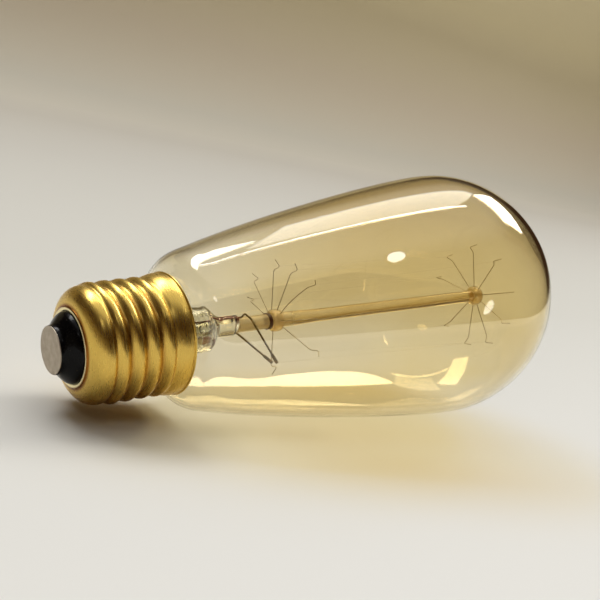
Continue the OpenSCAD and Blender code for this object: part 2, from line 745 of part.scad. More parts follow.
// One thin wire from the second lead up and down over all hooks to the first lead
filament_line = concat(
    [lead_tip(second_lead)],
    [for (i = [0:len(upper_clocks) - 1]) each concat(
        [notch(upper_hook_line(i), -1), notch(upper_hook_line(i), 1)],
        i < len(lower_clocks) ? [notch(lower_hook_line(i), -1), notch(lower_hook_line(i), 1)] : [])],
    [lead_tip(first_lead)]
);

module filament() {
    color([0.25, 0.24, 0.23])
        lying()
            on_stem()
                wire(filament_line, filament_d, filament_d);
}

module inner_lead(line) {
    color([0.6, 0.58, 0.55])
        lying()
            on_stem()
                wire(line, inner_lead_d, clamp_d);
}

module seal_wire(clock) {
    color([0.6, 0.25, 0.15])
        lying()
            on_stem()
                bar(at(clock, lead_spread, seal_wire_bottom_s), at(clock, lead_spread, seal_wire_top_s),
                    seal_wire_d / 2);
}

module outer_lead(line) {
    color([0.72, 0.4, 0.25])
        lying()
            wire(line, outer_lead_d, outer_lead_d);
}

// The bead of solder that joins the side wire to the shell's rim
module side_solder() {
    wire_run = side_wire[6] - side_wire[5];
    wire_end = side_wire[6] + wire_run / norm(wire_run) * seat_gap;
    color([0.7, 0.7, 0.7])
        lying()
            difference() {
                translate(at(side_clock, rim_r + bead_off, rim_s - bead_off))
                    sphere(r = bead_r);
                rotate_extrude()
                    polygon(concat(
                        [[0, thread_end_s], [skirt_r + seat_gap, thread_end_s]],
                        [for (row = skirt_line) [row[0] + seat_gap, row[1]]],
                        [[rim_r + seat_gap, rim_s + seat_gap], [0, rim_s + seat_gap]]));
                glass_body(seat_gap);
                bar(side_wire[5], wire_end, outer_lead_d / 2 + seat_gap);
            }
}

glass_envelope();
screw_shell();
base_insulator();
contact_plate();
capping_cement();
stem_flare();
exhaust_tube();
support_rod();
rod_collar();
lower_button();
upper_button();
outer_lead(centre_wire);  // outer_lead_centre
outer_lead(side_wire);  // outer_lead_side
seal_wire(press_clock);  // seal_wire_1
seal_wire(side_clock);  // seal_wire_2
inner_lead(first_lead);  // inner_lead_1
inner_lead(second_lead);  // inner_lead_2
side_solder();
filament();
for (i = [0:len(lower_clocks) - 1])
    hook(lower_hook_line(i));
for (i = [0:len(upper_clocks) - 1])
    hook(upper_hook_line(i));
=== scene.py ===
"""Looks of a clear-glass filament lamp with a screw cap, lying on a pale studio sweep.

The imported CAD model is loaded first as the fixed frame. Each piece is then modelled in the
lamp's own space, in millimetres: Z runs along the lamp's axis from the contact plate's face,
and clock angles run from X (up, as the lamp lies) towards Y (the front). A finished piece is
moved into its place and stands for the CAD node of the same name.
"""
import json
import math
from types import SimpleNamespace

import bpy
from mathutils import Matrix, Vector


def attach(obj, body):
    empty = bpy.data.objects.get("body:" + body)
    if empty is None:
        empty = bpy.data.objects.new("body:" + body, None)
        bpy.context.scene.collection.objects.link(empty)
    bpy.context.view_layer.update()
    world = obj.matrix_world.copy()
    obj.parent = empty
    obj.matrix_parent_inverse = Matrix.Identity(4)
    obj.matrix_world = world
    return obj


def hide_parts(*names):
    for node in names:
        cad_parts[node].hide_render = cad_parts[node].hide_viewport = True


bl_info = {
    "name": "Filament lamp",
    "version": (1, 0, 0),
    "blender": (4, 5, 0),
    "location": "3D View > Sidebar > Lamp",
    "description": "Models and finishes the glass, brass and wire of a filament lamp around its CAD frame",
    "category": "Object",
}

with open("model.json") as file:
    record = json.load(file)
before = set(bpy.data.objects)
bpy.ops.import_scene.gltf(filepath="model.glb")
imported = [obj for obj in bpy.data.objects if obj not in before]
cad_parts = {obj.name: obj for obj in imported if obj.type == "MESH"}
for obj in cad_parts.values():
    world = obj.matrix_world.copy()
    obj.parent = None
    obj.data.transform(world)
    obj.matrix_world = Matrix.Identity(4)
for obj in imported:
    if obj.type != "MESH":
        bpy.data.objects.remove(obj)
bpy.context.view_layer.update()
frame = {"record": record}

MM = 0.001
# The contact plate's face is where the lamp's space begins, and its outward normal points back along Z
CONTACT = next(m for m in frame["record"]["mounts"] if m["name"] == "centre_contact")
ALONG = -Vector(CONTACT["axis"]).normalized()
FRONT = Vector((0, -1, 0))
UP = FRONT.cross(ALONG)
TURN = Matrix((UP, FRONT, ALONG)).transposed().to_4x4()
PLACE = Matrix.Translation(CONTACT["pos_m"]) @ TURN @ Matrix.Scale(MM, 4)


def size(name, description, value):
    """A length property whose default is given in millimetres."""
    return bpy.props.FloatProperty(
        name=name, description=description, default=value * MM, unit="LENGTH", precision=5)


def colour(name, description, code):
    """A colour property whose default is given as an sRGB hex code."""
    return bpy.props.FloatVectorProperty(
        name=name, description=description, default=linear(code)[:3], subtype="COLOR", min=0, max=1)


def linear(code):
    """The linear colour of an sRGB hex code, with full alpha."""
    channels = [int(code[i:i + 2], 16) / 255 for i in (1, 3, 5)]
    return tuple(c / 12.92 if c <= 0.04045 else ((c + 0.055) / 1.055) ** 2.4 for c in channels) + (1,)


class LampSizes(bpy.types.PropertyGroup):
    """Sizes that follow the CAD model's own, with the hooks and the filament as thin as they look"""
    insulator_h: size("Insulator height", "Height from the contact's face to the shell's opening", 4.55)
    shell_l: size("Shell length", "Length of the screw shell from its opening to its rim", 22.75)
    opening_r: size("Opening radius", "Radius of the shell's opening", 8)
    shoulder_h: size("Shoulder height", "Height of the rounded shoulder before the thread", 3.6)
    crest_r: size("Crest radius", "Radius over the thread's crests", 13.1)
    thread_depth: size("Thread depth", "Depth of the rolled thread", 1)
    thread_pitch: size("Thread pitch", "Distance between two crests", 3.629)
    crest_s: size("Crest place", "Height of one crest on the upper side", 10)
    skirt_l: size("Skirt length", "Length of the plain skirt below the rim", 4)
    skirt_r: size("Skirt radius", "Radius where the thread runs out", 12.9)
    skirt_bulge: size("Skirt bulge", "Bulge of the skirt between the thread and the rim", 0.3)
    rim_r: size("Rim radius", "Radius of the flared rim", 13.4)
    shell_wall: size("Brass thickness", "Thickness of the shell's sheet", 0.3)
    contact_r: size("Contact radius", "Radius of the contact plate", 5.2)
    contact_t: size("Contact height", "Height of the contact plate's edge", 0.2)
    nose_r: size("Nose radius", "Radius of the insulator's nose behind the plate", 5.6)
    nose_h: size("Nose height", "Height at which the nose widens into the cone", 1.2)
    envelope_r: size("Envelope radius", "Largest radius of the glass", 32)
    dome_h: size("Dome height", "Height from the widest place to the tip", 31.7)
    body_l: size("Body length", "Height from the knee to the widest place", 73.3)
    knee_h: size("Knee height", "Height of the knee above the rim", 8.7)
    knee_r: size("Knee radius", "Radius at the knee", 19.4)
    neck_r: size("Neck radius", "Radius of the neck inside the cap", 11)
    neck_in: size("Neck depth", "Depth of the neck inside the cap", 7)
    glass_wall: size("Glass thickness", "Thickness of the blown glass", 0.9)
    tube_r: size("Stem radius", "Radius of the stem's tube", 5.4)
    trumpet_h: size("Trumpet height", "Height of the trumpet below the tube", 9.5)
    tube_l: size("Tube length", "Length of the stem's straight tube", 6.2)
    cap_h: size("Round top height", "Height of the stem's round top", 5.4)
    press_l: size("Press length", "Length of the press", 4.6)
    foot_r: size("Foot radius", "Radius of the rod's thick foot", 1.8)
    rod_r: size("Rod radius", "Radius of the rod", 1.6)
    rod_span: size("Rod span", "Length of the rod between the buttons", 65.2)
    leg_r: size("Leg radius", "Radius at which a hook's leg ends", 12.3)
    hook_d: size("Hook wire", "Thickness of the hooks' wire", 0.22)
    filament_d: size("Filament", "Thickness of the filament", 0.03)


class LampColours(bpy.types.PropertyGroup):
    """Colours of the finishes"""
    glass_near: colour("Glass near the cap", "Tint of the glass where it is nearly clear", "#FDF9EC")
    glass_far: colour("Glass at the wide end", "Tint of the glass where it is most amber", "#F5E6BA")
    brass: colour("Brass", "Clean brass of the cap", "#E2BE60")
    # The tarnish colour also paints the shade on the cap's underside and beside its lip
    tarnish_and_shade: colour("Tarnish", "Brass in the thread's grooves", "#9A6428")
    insulator: colour("Insulator", "Black glass around the contact", "#060607")
    contact: colour("Contact", "Dull tinned contact plate", "#BEB2A2")
    rod: colour("Rod", "Tint of the support rod's glass", "#F0DCA8")
    hooks: colour("Hooks", "Oxidised wire of the hooks", "#C0B294")
    # The floor and backdrop tones hold painted shade, darker towards the back
    floor_near: colour("Floor", "Paper of the floor in front of the lamp", "#EAE9E4")
    floor_far: colour("Backdrop", "Paper of the backdrop behind the lamp", "#D1C39A")


def sizes():
    """The size properties in millimetres, with the heights that follow from them."""
    group = bpy.context.scene.lamp_sizes
    s = SimpleNamespace(**{name: getattr(group, name) / MM for name in LampSizes.__annotations__})
    s.rim_s = s.insulator_h + s.shell_l
    s.thread_end_s = s.rim_s - s.skirt_l
    s.neck_end_s = s.rim_s - s.neck_in
    s.knee_s = s.rim_s + s.knee_h
    s.widest_s = s.knee_s + s.body_l
    s.tube_s = s.neck_end_s + s.trumpet_h
    s.tube_end_s = s.tube_s + s.tube_l
    s.press_s = s.tube_end_s + s.cap_h
    s.ceiling_s = s.press_s - s.cap_h * 0.7
    s.press_top_s = s.press_s + s.press_l
    s.collar_s = s.press_top_s + FOOT_L
    s.lower_button_s = s.collar_s + COLLAR_L
    s.lower_button_end_s = s.lower_button_s + LOWER_BUTTON[1]
    s.upper_button_s = s.lower_button_end_s + s.rod_span
    s.lower_hook_s = s.lower_button_s + LOWER_BUTTON[1] / 2
    s.upper_hook_s = s.upper_button_s + UPPER_BUTTON[1] / 2
    return s


# Steps outwards and up from the rim's radius and height to the shell's turned edge
RIM_STEPS = ((0.02, -0.5), (0.0, -0.36), (0.08, -0.22), (0.24, -0.08), (0.34, 0.06))
# Lengths of the foot, the collar and the foot past the lower button, and of the foot's taper
FOOT_L, COLLAR_L, FOOT_PAST, TAPER_L = 8.5, 1, 2.3, 8.5
# Radius and length of the two buttons
LOWER_BUTTON = (2.7, 3.5)
UPPER_BUTTON = (2.6, 3.2)
# Lean of the stem in degrees, and the clock angle that it leans towards
STEM_LEAN, STEM_LEAN_CLOCK = 1.2, 165
# Clock angle of the first wire in the press, and distance of both wires from the axis
PRESS_CLOCK, LEAD_SPREAD = 20, 2.3

# Clock angles of the hooks, the heights of the lower legs' roots, and what each leg gains
LOWER_CLOCKS = (182, 250, 274, 304, 338, 366, 393, 430, 467)
LOWER_ROOTS = (-0.2, -0.6, -0.6, -0.7, -0.7, 0, 0.4, 0.3, 0.4)
LOWER_RISES = (1, 1.4, 1.4, 0.4, 2, 2.1, 3.2, 0.7, 2.3)
# How far the middle of each lower leg bows back towards the press
LOWER_BOWS = (0, 0, 0, 0, 0, 0, 0.9, 2.2, 0)
UPPER_CLOCKS = (174, 213, 244, 275, 307, 348, 388, 428, 464, 500)
# How much height each upper leg loses on its way out
UPPER_FALL = 0.6
# Runs outwards and along the rod of a hook's step and of its end
LOWER_STEP, LOWER_END = (0.5, 1.9), (1.9, -1.2)
UPPER_STEP, UPPER_END = (1.5, -1.5), (0.6, 2.8)
# Depth of each leg in its button
LEG_IN = 0.6
# Bends of the inner leads: clock angle past the lead's own, distance out, height above the press
FIRST_BENDS = ((2, 1.2, 1.3), (28, 0.9, 2.5))
SECOND_BENDS = ((0, 0.7, 1.6),)
# Clock angle and height above the press at which the inner leads end, and their distance from the axis
FIRST_END, SECOND_END, END_R = (150, 9.5), (166, 10), 10.2
# Thickness of the wires, and thickness and length of the inner leads' clamped ends
OUTER_LEAD_D, SEAL_WIRE_D, INNER_LEAD_D = 0.35, 0.4, 0.5
CLAMP_D, CLAMP_L = 0.8, 2.6


# Shapes


def at(clock, r, s):
    """A point of the lamp's space from its clock angle, its distance from the axis and its height."""
    angle = math.radians(clock)
    return Vector((r * math.cos(angle), r * math.sin(angle), s))


def stem_lean():
    """The turn that leans the whole stem about its seal."""
    foot = Vector((0, 0, sizes().neck_end_s))
    lean = Matrix.Rotation(math.radians(STEM_LEAN), 4, at(STEM_LEAN_CLOCK + 90, 1, 0))
    return Matrix.Translation(foot) @ lean @ Matrix.Translation(-foot)


def shares(steps):
    """The shares from 0 to 1 in that many steps."""
    return [i / steps for i in range(steps + 1)]


def arc(centre, radii, start, end, steps):
    """Points of an outline's rounding, with centre and radii as (radius, height) and angles in degrees."""
    angles = [math.radians(start + (end - start) * t) for t in shares(steps)]
    return [(centre[0] + radii[0] * math.cos(a), centre[1] + radii[1] * math.sin(a)) for a in angles]


def curve(a, b, c, d, steps):
    """Points of a cubic curve after its first end a, to its last end d, with handles b and c."""
    return [tuple(p * (1 - t) ** 3 + q * 3 * t * (1 - t) ** 2 + u * 3 * t * t * (1 - t) + v * t ** 3
                  for p, q, u, v in zip(a, b, c, d)) for t in shares(steps)[1:]]


def moved(point, run, distance):
    """A point of an outline moved along a run by a multiple of that run."""
    return (point[0] + run[0] * distance, point[1] + run[1] * distance)


def inset(line, distance):
    """An outline moved inwards along its normals."""
    inner = []
    for i, p in enumerate(line):
        before, after = line[max(i - 1, 0)], line[min(i + 1, len(line) - 1)]
        run = (Vector(after) - Vector(before)).normalized()
        inner.append(moved(p, (-run[1], run[0]), distance))
    return inner


def deselect():
    """Leaves nothing selected and no object in edit mode."""
    if bpy.context.object and bpy.context.object.mode != "OBJECT":
        bpy.ops.object.mode_set(mode="OBJECT")
    bpy.ops.object.select_all(action="DESELECT")


def start_point(name, point):
    """A new mesh in edit mode with one vertex, made by merging a small plane."""
    deselect()
    bpy.ops.mesh.primitive_plane_add(size=1, location=(0, 0, 0))
    piece = bpy.context.object
    piece.name = piece.data.name = name
    bpy.ops.object.mode_set(mode="EDIT")
    bpy.ops.mesh.merge(type="CENTER")
    bpy.ops.transform.translate(value=point)
    return piece


def close(threshold=0.0005):
    """Merges the doubles of the mesh in edit mode, turns its faces outwards and leaves edit mode."""
    bpy.ops.mesh.select_all(action="SELECT")
    bpy.ops.mesh.remove_doubles(threshold=threshold)
    bpy.ops.mesh.select_all(action="SELECT")
    bpy.ops.mesh.normals_make_consistent(inside=False)
    bpy.ops.object.mode_set(mode="OBJECT")


def smooth(angle):
    """Shades the active piece smooth, apart from edges sharper than that many degrees."""
    bpy.ops.object.shade_smooth_by_angle(angle=math.radians(angle))


def lathe(name, line, steps, smooth_angle=50):
    """A piece spun about the lamp's axis from an outline of (radius, height) points."""
    points = [Vector((max(r, 0), 0, s)) for r, s in line]
    piece = start_point(name, points[0])
    for before, after in zip(points, points[1:]):
        bpy.ops.mesh.extrude_region_move(TRANSFORM_OT_translate={"value": after - before})
    bpy.ops.mesh.select_all(action="SELECT")
    bpy.ops.mesh.spin(steps=steps, angle=math.tau, center=(0, 0, 0), axis=(0, 0, 1))
    close()
    smooth(smooth_angle)
    return piece


def modify(piece, kind, **settings):
    """Adds a modifier to the active piece and applies it."""
    modifier = piece.modifiers.new(kind.title(), kind)
    for key, value in settings.items():
        setattr(modifier, key, value)
    bpy.ops.object.modifier_apply(modifier=modifier.name)


def unevenness(piece, scale, strength):
    """Moves the skin of a piece worked by hand in and out in soft clouds, in millimetres."""
    clouds = bpy.data.textures.new(piece.name + "_clouds", "CLOUDS")
    clouds.noise_scale = scale
    clouds.noise_depth = 1
    modify(piece, "DISPLACE", texture=clouds, strength=strength, mid_level=0.5, texture_coords="LOCAL")


def rounded(points, bend, steps=5):
    """A line of points with each corner rounded over a length of bend on both its sides."""
    points = [Vector(p) for p in points]
    out = [points[0]]
    for before, here, after in zip(points, points[1:], points[2:]):
        back, on = before - here, after - here
        reach = min(bend, back.length * 0.45, on.length * 0.45)
        start, end = here + back.normalized() * reach, here + on.normalized() * reach
        out += [start * (1 - t) ** 2 + here * 2 * t * (1 - t) + end * t * t for t in shares(steps)]
    return out + [points[-1]]


def wire(name, points, d, taper=None):
    """A round wire of thickness d along points; taper gives each point's share of that thickness."""
    deselect()
    bpy.ops.curve.primitive_bezier_curve_add(location=(0, 0, 0))
    piece = bpy.context.object
    piece.name = name
    path = piece.data
    path.splines.remove(path.splines[0])
    spline = path.splines.new("POLY")
    spline.points.add(len(points) - 1)
    for i, p in enumerate(points):
        spline.points[i].co = (*p, 1)
        spline.points[i].radius = taper[i] if taper else 1
    path.dimensions = "3D"
    path.bevel_depth = d / 2
    path.bevel_resolution = 3
    path.use_fill_caps = True
    bpy.ops.object.convert(target="MESH")
    piece.data.name = name
    bpy.ops.object.mode_set(mode="EDIT")
    close()
    smooth(50)
    return piece


def finish(piece, material, node, on_stem=False):
    """Puts a finished piece in its place, leaning with the stem or not, to stand for its CAD node."""
    deselect()
    piece.select_set(True)
    bpy.context.view_layer.objects.active = piece
    piece.matrix_world = PLACE @ stem_lean() if on_stem else PLACE
    bpy.ops.object.transform_apply(location=True, rotation=True, scale=True)
    piece.data.materials.clear()
    piece.data.materials.append(material)
    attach(piece, "root")
    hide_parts(node)


# Materials


def add(material, kind, settings=None, stops=(), **links):
    """Adds a node with its settings and, in a colour ramp, its stops of (position, colour).

    An input is named with _ for each space. It gets a value, an output, or a node for its first output.
    """
    node = material.node_tree.nodes.new(kind)
    for key, value in (settings or {}).items():
        setattr(node, key, value)
    if stops:
        elements = node.color_ramp.elements
        while len(elements) < len(stops):
            elements.new(0.5)
        for element, (position, value) in zip(elements, stops):
            element.position, element.color = position, value
    for key, value in links.items():
        sockets = [s for s in node.inputs if s.identifier == key or s.name.replace(" ", "_") == key]
        if not sockets:
            raise ValueError(f"{kind} has no input {key}")
        if isinstance(value, bpy.types.Node):
            value = value.outputs[0]
        if isinstance(value, bpy.types.NodeSocket):
            material.node_tree.links.new(value, sockets[0])
        else:
            sockets[0].default_value = value
    return node


def new_material(name):
    """An empty node material."""
    material = bpy.data.materials.new(name)
    material.use_nodes = True
    material.node_tree.nodes.clear()
    return material


def out(material, shader):
    """Ends a material in its output node."""
    add(material, "ShaderNodeOutputMaterial", Surface=shader)
    return material


def lamp_space(material):
    """Object coordinates turned into the lamp's space, in millimetres."""
    inverse = PLACE.inverted()
    place = add(material, "ShaderNodeTexCoord").outputs["Object"]
    return add(material, "ShaderNodeMapping", Vector=place, Location=inverse.translation,
               Rotation=inverse.to_euler(), Scale=(1 / MM,) * 3)


def skin(material, pattern, strength, depth, **inputs):
    """The surface's shader, with a pattern worked into it up to that depth in millimetres."""
    bump = add(material, "ShaderNodeBump", Height=pattern, Strength=strength, Distance=depth * MM)
    return add(material, "ShaderNodeBsdfPrincipled", Normal=bump, **inputs)


def picked(name):
    """A colour property as a colour with full alpha."""
    return tuple(getattr(bpy.context.scene.lamp_colours, name)) + (1,)


def clear_to_lamps(material, glass, tint):
    """Lets light on its way to a lit surface pass straight through glass, tinted once by each face."""
    path = add(material, "ShaderNodeLightPath")
    face = add(material, "ShaderNodeGamma", Color=tint, Gamma=0.5)
    through = add(material, "ShaderNodeBsdfTransparent", Color=face)
    bounced = add(material, "ShaderNodeMixShader", Fac=path.outputs["Is Diffuse Ray"],
                  Shader=glass, Shader_001=through)
    return add(material, "ShaderNodeMixShader", Fac=path.outputs["Is Shadow Ray"],
               Shader=bounced, Shader_001=through)


def envelope_glass():
    """Soda-lime glass, blown: fire-polished and slightly wavy, clear at the neck and amber further out."""
    m = new_material("blown_soda_lime_glass")
    place = lamp_space(m)
    split = add(m, "ShaderNodeSeparateXYZ", Vector=place)
    share = add(m, "ShaderNodeMapRange", Value=split.outputs["Z"], From_Min=30.0, From_Max=141.0)
    near, far = picked("glass_near"), picked("glass_far")
    tip = linear("#F8EFD2")
    amber = add(m, "ShaderNodeValToRGB", stops=((0, near), (0.43, far), (0.68, far), (1, tip)), Fac=share)
    # The amber is painted paler towards the side that the lamp lies on, a painted light standing in for the
    # caustic-brightened floor seen through the lower glass
    under = add(m, "ShaderNodeMapRange", Value=split.outputs["X"], From_Min=-9.5, From_Max=-22.0)
    tint = add(m, "ShaderNodeMix", {"data_type": "RGBA"}, Factor_Float=under, A_Color=amber,
               B_Color=near).outputs[2]
    # Blown glass swells and thins over some 25 mm
    waves = add(m, "ShaderNodeTexNoise", Vector=place, Scale=1 / 25, Detail=1.0)
    glass = skin(m, waves, 0.15, 0.4, Base_Color=tint, Roughness=0.0, IOR=1.5, Transmission_Weight=1.0)
    return out(m, clear_to_lamps(m, glass, tint))


def stem_glass():
    """Lead glass, drawn and pressed by hand: clear, faintly grey, with soft ripples in its skin."""
    m = new_material("pressed_lead_glass")
    place = lamp_space(m)
    ripples = add(m, "ShaderNodeTexNoise", Vector=place, Scale=1 / 3, Detail=2.0)
    tint = linear("#F3F3EA")
    glass = skin(m, ripples, 0.5, 0.4, Base_Color=tint, Roughness=0.02, IOR=1.56, Transmission_Weight=1.0)
    return out(m, clear_to_lamps(m, glass, tint))


def rod_glass():
    """Glass rod, drawn: fire-polished, pale tan with faint streaks, milky at its foot and its buttons."""
    m = new_material("drawn_milky_glass")
    s = sizes()
    place = lamp_space(m)
    height = add(m, "ShaderNodeSeparateXYZ", Vector=place).outputs["Z"]
    span = add(m, "ShaderNodeMapRange", Value=height, From_Min=s.lower_button_end_s,
               From_Max=s.upper_button_s)
    milky, clear = [(v, v, v, 1) for v in (0.6, 0.92)]
    clarity = add(m, "ShaderNodeValToRGB", stops=((0.02, milky), (0.08, clear), (0.99, clear), (1, milky)),
                  Fac=span)
    gloss = add(m, "ShaderNodeMapRange", Value=clarity, From_Min=milky[0], From_Max=clear[0],
                To_Min=0.12, To_Max=0.03)
    along = add(m, "ShaderNodeMapping", Vector=place, Scale=(1.0, 1.0, 0.06))
    streaks = add(m, "ShaderNodeTexNoise", Vector=along, Scale=1 / 0.8, Detail=2.0)
    tint = add(m, "ShaderNodeValToRGB", stops=((0.3, picked("rod")), (0.7, linear("#F8ECCB"))),
               Fac=streaks)
    glass = skin(m, streaks, 0.2, 0.1, Base_Color=tint, Roughness=gloss, IOR=1.5,
                 Transmission_Weight=clarity)
    return out(m, clear_to_lamps(m, glass, linear("#F0DDB8")))


def cap_brass():
    """Brass sheet, rolled into a thread: satin, with rubbed lines around it, tarnished grooves, a painted
    shade on its underside and a painted highlight on its lip.
    """
    m = new_material("rolled_sheet_brass")
    s = sizes()
    place = lamp_space(m)
    split = add(m, "ShaderNodeSeparateXYZ", Vector=place)
    flat = add(m, "ShaderNodeCombineXYZ", X=split.outputs["X"], Y=split.outputs["Y"])
    radius = add(m, "ShaderNodeVectorMath", {"operation": "LENGTH"}, Vector=flat).outputs["Value"]
    worn = add(m, "ShaderNodeMapRange", Value=radius, From_Min=s.crest_r - s.thread_depth,
               From_Max=s.crest_r - 0.2)
    blotches = add(m, "ShaderNodeTexNoise", Vector=place, Scale=1 / 6, Detail=4.0)
    # The shoulder below the thread is as clean as the crests
    start = s.insulator_h + s.shoulder_h
    shoulder = add(m, "ShaderNodeMapRange", Value=split.outputs["Z"], From_Min=start + 0.6,
                   From_Max=start - 0.8)
    rubbed_and_unshaded = add(m, "ShaderNodeMath", {"operation": "MAXIMUM"}, Value=worn, Value_001=shoulder)
    # The side that the lamp lies on is painted darker, with less bright brass: a painted shade for the
    # shadowed floor that it mirrors
    under = add(m, "ShaderNodeMapRange", Value=split.outputs["X"], From_Min=-12.5, From_Max=-6.0,
                To_Min=0.4)
    rubbed_and_unshaded = add(m, "ShaderNodeMath", {"operation": "MULTIPLY"}, Value=rubbed_and_unshaded, Value_001=under)
    mixed = add(m, "ShaderNodeMath", {"operation": "MULTIPLY_ADD"}, Value=blotches, Value_001=0.4,
                Value_002=rubbed_and_unshaded)
    # The tarnish colour serves the grooves' real tarnish and the painted shade on the underside
    tarnish_and_shade, clear_brass = picked("tarnish_and_shade"), picked("brass")
    sheet = add(m, "ShaderNodeValToRGB", stops=((0.2, tarnish_and_shade), (0.95, clear_brass), (1, clear_brass)),
                Fac=mixed)
    # The lip around the opening is painted pale along the bead's crest, partly rubbed brass and partly a
    # painted highlight, and the furrow beside it is painted darker
    opening = s.opening_r
    from_lip = add(m, "ShaderNodeMapRange", Value=radius, From_Min=opening, From_Max=opening + 2)
    lip_with_highlight = add(m, "ShaderNodeValToRGB",
              stops=((0.27, linear("#FAEBB8")), (0.34, tarnish_and_shade), (0.5, tarnish_and_shade), (0.8, clear_brass)),
              Fac=from_lip)
    past_lip = add(m, "ShaderNodeMath", {"operation": "GREATER_THAN"}, Value=radius,
                   Value_001=opening + 1.8)
    brass = add(m, "ShaderNodeMix", {"data_type": "RGBA"}, Factor_Float=past_lip, A_Color=lip_with_highlight,
                B_Color=sheet).outputs[2]
    # Rubbed lines run around the shell, some 0.25 mm apart
    around = add(m, "ShaderNodeMapping", Vector=place, Scale=(0.1, 0.1, 1.0))
    lines = add(m, "ShaderNodeTexNoise", Vector=around, Scale=1 / 0.25, Detail=3.0)
    rough = add(m, "ShaderNodeMapRange", Value=lines, To_Min=0.22, To_Max=0.34)
    return out(m, skin(m, lines, 0.25, 0.05, Base_Color=brass, Metallic=1.0, Roughness=rough))


def black_glass():
    """Black glass, pressed hot into the cap: glossy, with shallow flow marks and a few dull specks."""
    m = new_material("pressed_black_glass")
    place = lamp_space(m)
    flow = add(m, "ShaderNodeTexNoise", Vector=place, Scale=1 / 2.5, Detail=2.0)
    specks = add(m, "ShaderNodeTexNoise", Vector=place, Scale=1 / 0.4, Detail=3.0)
    tone = add(m, "ShaderNodeValToRGB", stops=((0.55, picked("insulator")), (0.8, linear("#1C1A18"))),
               Fac=specks)
    rough = add(m, "ShaderNodeMapRange", Value=specks, From_Min=0.45, From_Max=0.75,
                To_Min=0.14, To_Max=0.3)
    return out(m, skin(m, flow, 0.3, 0.2, Base_Color=tone, Roughness=rough, IOR=1.45,
                       Specular_IOR_Level=0.16))


def tinned_brass():
    """Tinned brass, stamped: dull silver with a warm cast, mottled where the tin is thin."""
    m = new_material("stamped_tinned_brass")
    place = lamp_space(m)
    mottle = add(m, "ShaderNodeTexNoise", Vector=place, Scale=1 / 1.8, Detail=5.0)
    tone = add(m, "ShaderNodeValToRGB", stops=((0.3, linear("#A99D8C")), (0.7, picked("contact"))),
               Fac=mottle)
    rough = add(m, "ShaderNodeMapRange", Value=mottle, To_Min=0.55, To_Max=0.42)
    return out(m, skin(m, mottle, 0.15, 0.05, Base_Color=tone, Metallic=1.0, Roughness=rough))


def grainy(name, dark, light, grain, rough, metallic=0.0, depth=0.03):
    """A finish with two tones mixed by a grain, whose size and depth are in millimetres."""
    m = new_material(name)
    noise = add(m, "ShaderNodeTexNoise", Vector=lamp_space(m), Scale=1 / grain, Detail=4.0)
    tone = add(m, "ShaderNodeValToRGB", stops=((0.35, dark), (0.65, light)), Fac=noise)
    return out(m, skin(m, noise, 0.4, depth, Base_Color=tone, Metallic=metallic, Roughness=rough))


def hook_wire():
    """Molybdenum wire, drawn and heated: dark grey-brown oxide over metal."""
    return grainy("drawn_molybdenum_wire", linear("#9A8E74"), picked("hooks"), 0.6, 0.4, 0.5)


def nickel_wire():
    """Nickel wire, drawn: dulled to olive-brown by heat."""
    return grainy("drawn_nickel_wire", linear("#5C4E34"), linear("#8A7A58"), 0.8, 0.4, 1.0)


def copper_wire():
    """Copper wire, drawn: reddish metal under a dark oxide."""
    return grainy("drawn_copper_wire", linear("#3A2418"), linear("#6E4630"), 0.8, 0.4, 1.0)


def seal_copper():
    """Copper-clad wire, borated: the red-brown oxide that seals to glass."""
    return grainy("borated_copper_clad_wire", linear("#5A1E10"), linear("#8E3A20"), 0.5, 0.5)


def dark_collar():
    """Glass stained by metal oxide: an opaque dark red-brown band."""
    return grainy("oxide_stained_glass", linear("#2C0E08"), linear("#4A1A0E"), 0.6, 0.3)


def tungsten():
    """Tungsten wire, drawn: bare grey metal."""
    return grainy("drawn_tungsten_wire", linear("#B5AFA3"), linear("#D0CABC"), 0.5, 0.4, 1.0)


def solder():
    """Tin-lead solder, hand-fed: bright where it flowed, grey where it froze."""
    return grainy("soft_solder", linear("#9A9A98"), linear("#D0D0CC"), 0.7, 0.3, 1.0)


def cement():
    """Resin capping cement, baked: a dull beige paste with mineral grains."""
    return grainy("baked_capping_cement", linear("#8E8270"), linear("#B8AC96"), 0.4, 0.8, depth=0.1)


# Pieces


class LAMP_OT_envelope(bpy.types.Operator):
    """Blows the glass envelope from neck to tip"""
    bl_idname = "lamp.envelope"
    bl_label = "Glass Envelope"

    def execute(self, context):
        s = sizes()
        neck, wall = s.neck_r, s.glass_wall
        # The shoulder leaves the neck below the rim, is steepest above it, and turns at the knee
        blend, steep = (neck, s.rim_s - 3.1), (neck + 4.2, s.rim_s + 1.4)
        knee, widest = (s.knee_r, s.knee_s), (s.envelope_r, s.widest_s)
        steep_run, knee_run = (3, 1), (0.27, 1)
        # Lengths of the curves' handles: at the neck, before the knee, after it and before the widest place
        neck_pull, knee_pull = 2.4, 3
        lower_pull, upper_pull = s.body_l * 0.295, s.body_l * 0.146
        line = [(neck, s.neck_end_s), blend]
        line += curve(blend, (neck, blend[1] + neck_pull), moved(steep, steep_run, -1), steep, 14)
        line += curve(steep, moved(steep, steep_run, 1), moved(knee, knee_run, -knee_pull), knee, 14)
        line += curve(knee, moved(knee, knee_run, lower_pull), moved(widest, (0, 1), -upper_pull), widest, 40)
        line += arc((0, s.widest_s), (s.envelope_r, s.dome_h), 0, 90, 48)[1:]
        inner = inset(line, wall)
        # The inner skin ends on the axis too, and the neck's cut end is fire-rounded
        inner[-1] = (0, line[-1][1] - wall)
        inner[0] = (inner[0][0], s.neck_end_s)
        round_end = arc((neck - wall / 2, s.neck_end_s), (wall / 2, wall / 2), 180, 360, 6)[1:-1]
        piece = lathe("envelope", inner[::-1] + round_end + line, 144, 60)
        finish(piece, envelope_glass(), "glass_envelope")
        return {"FINISHED"}


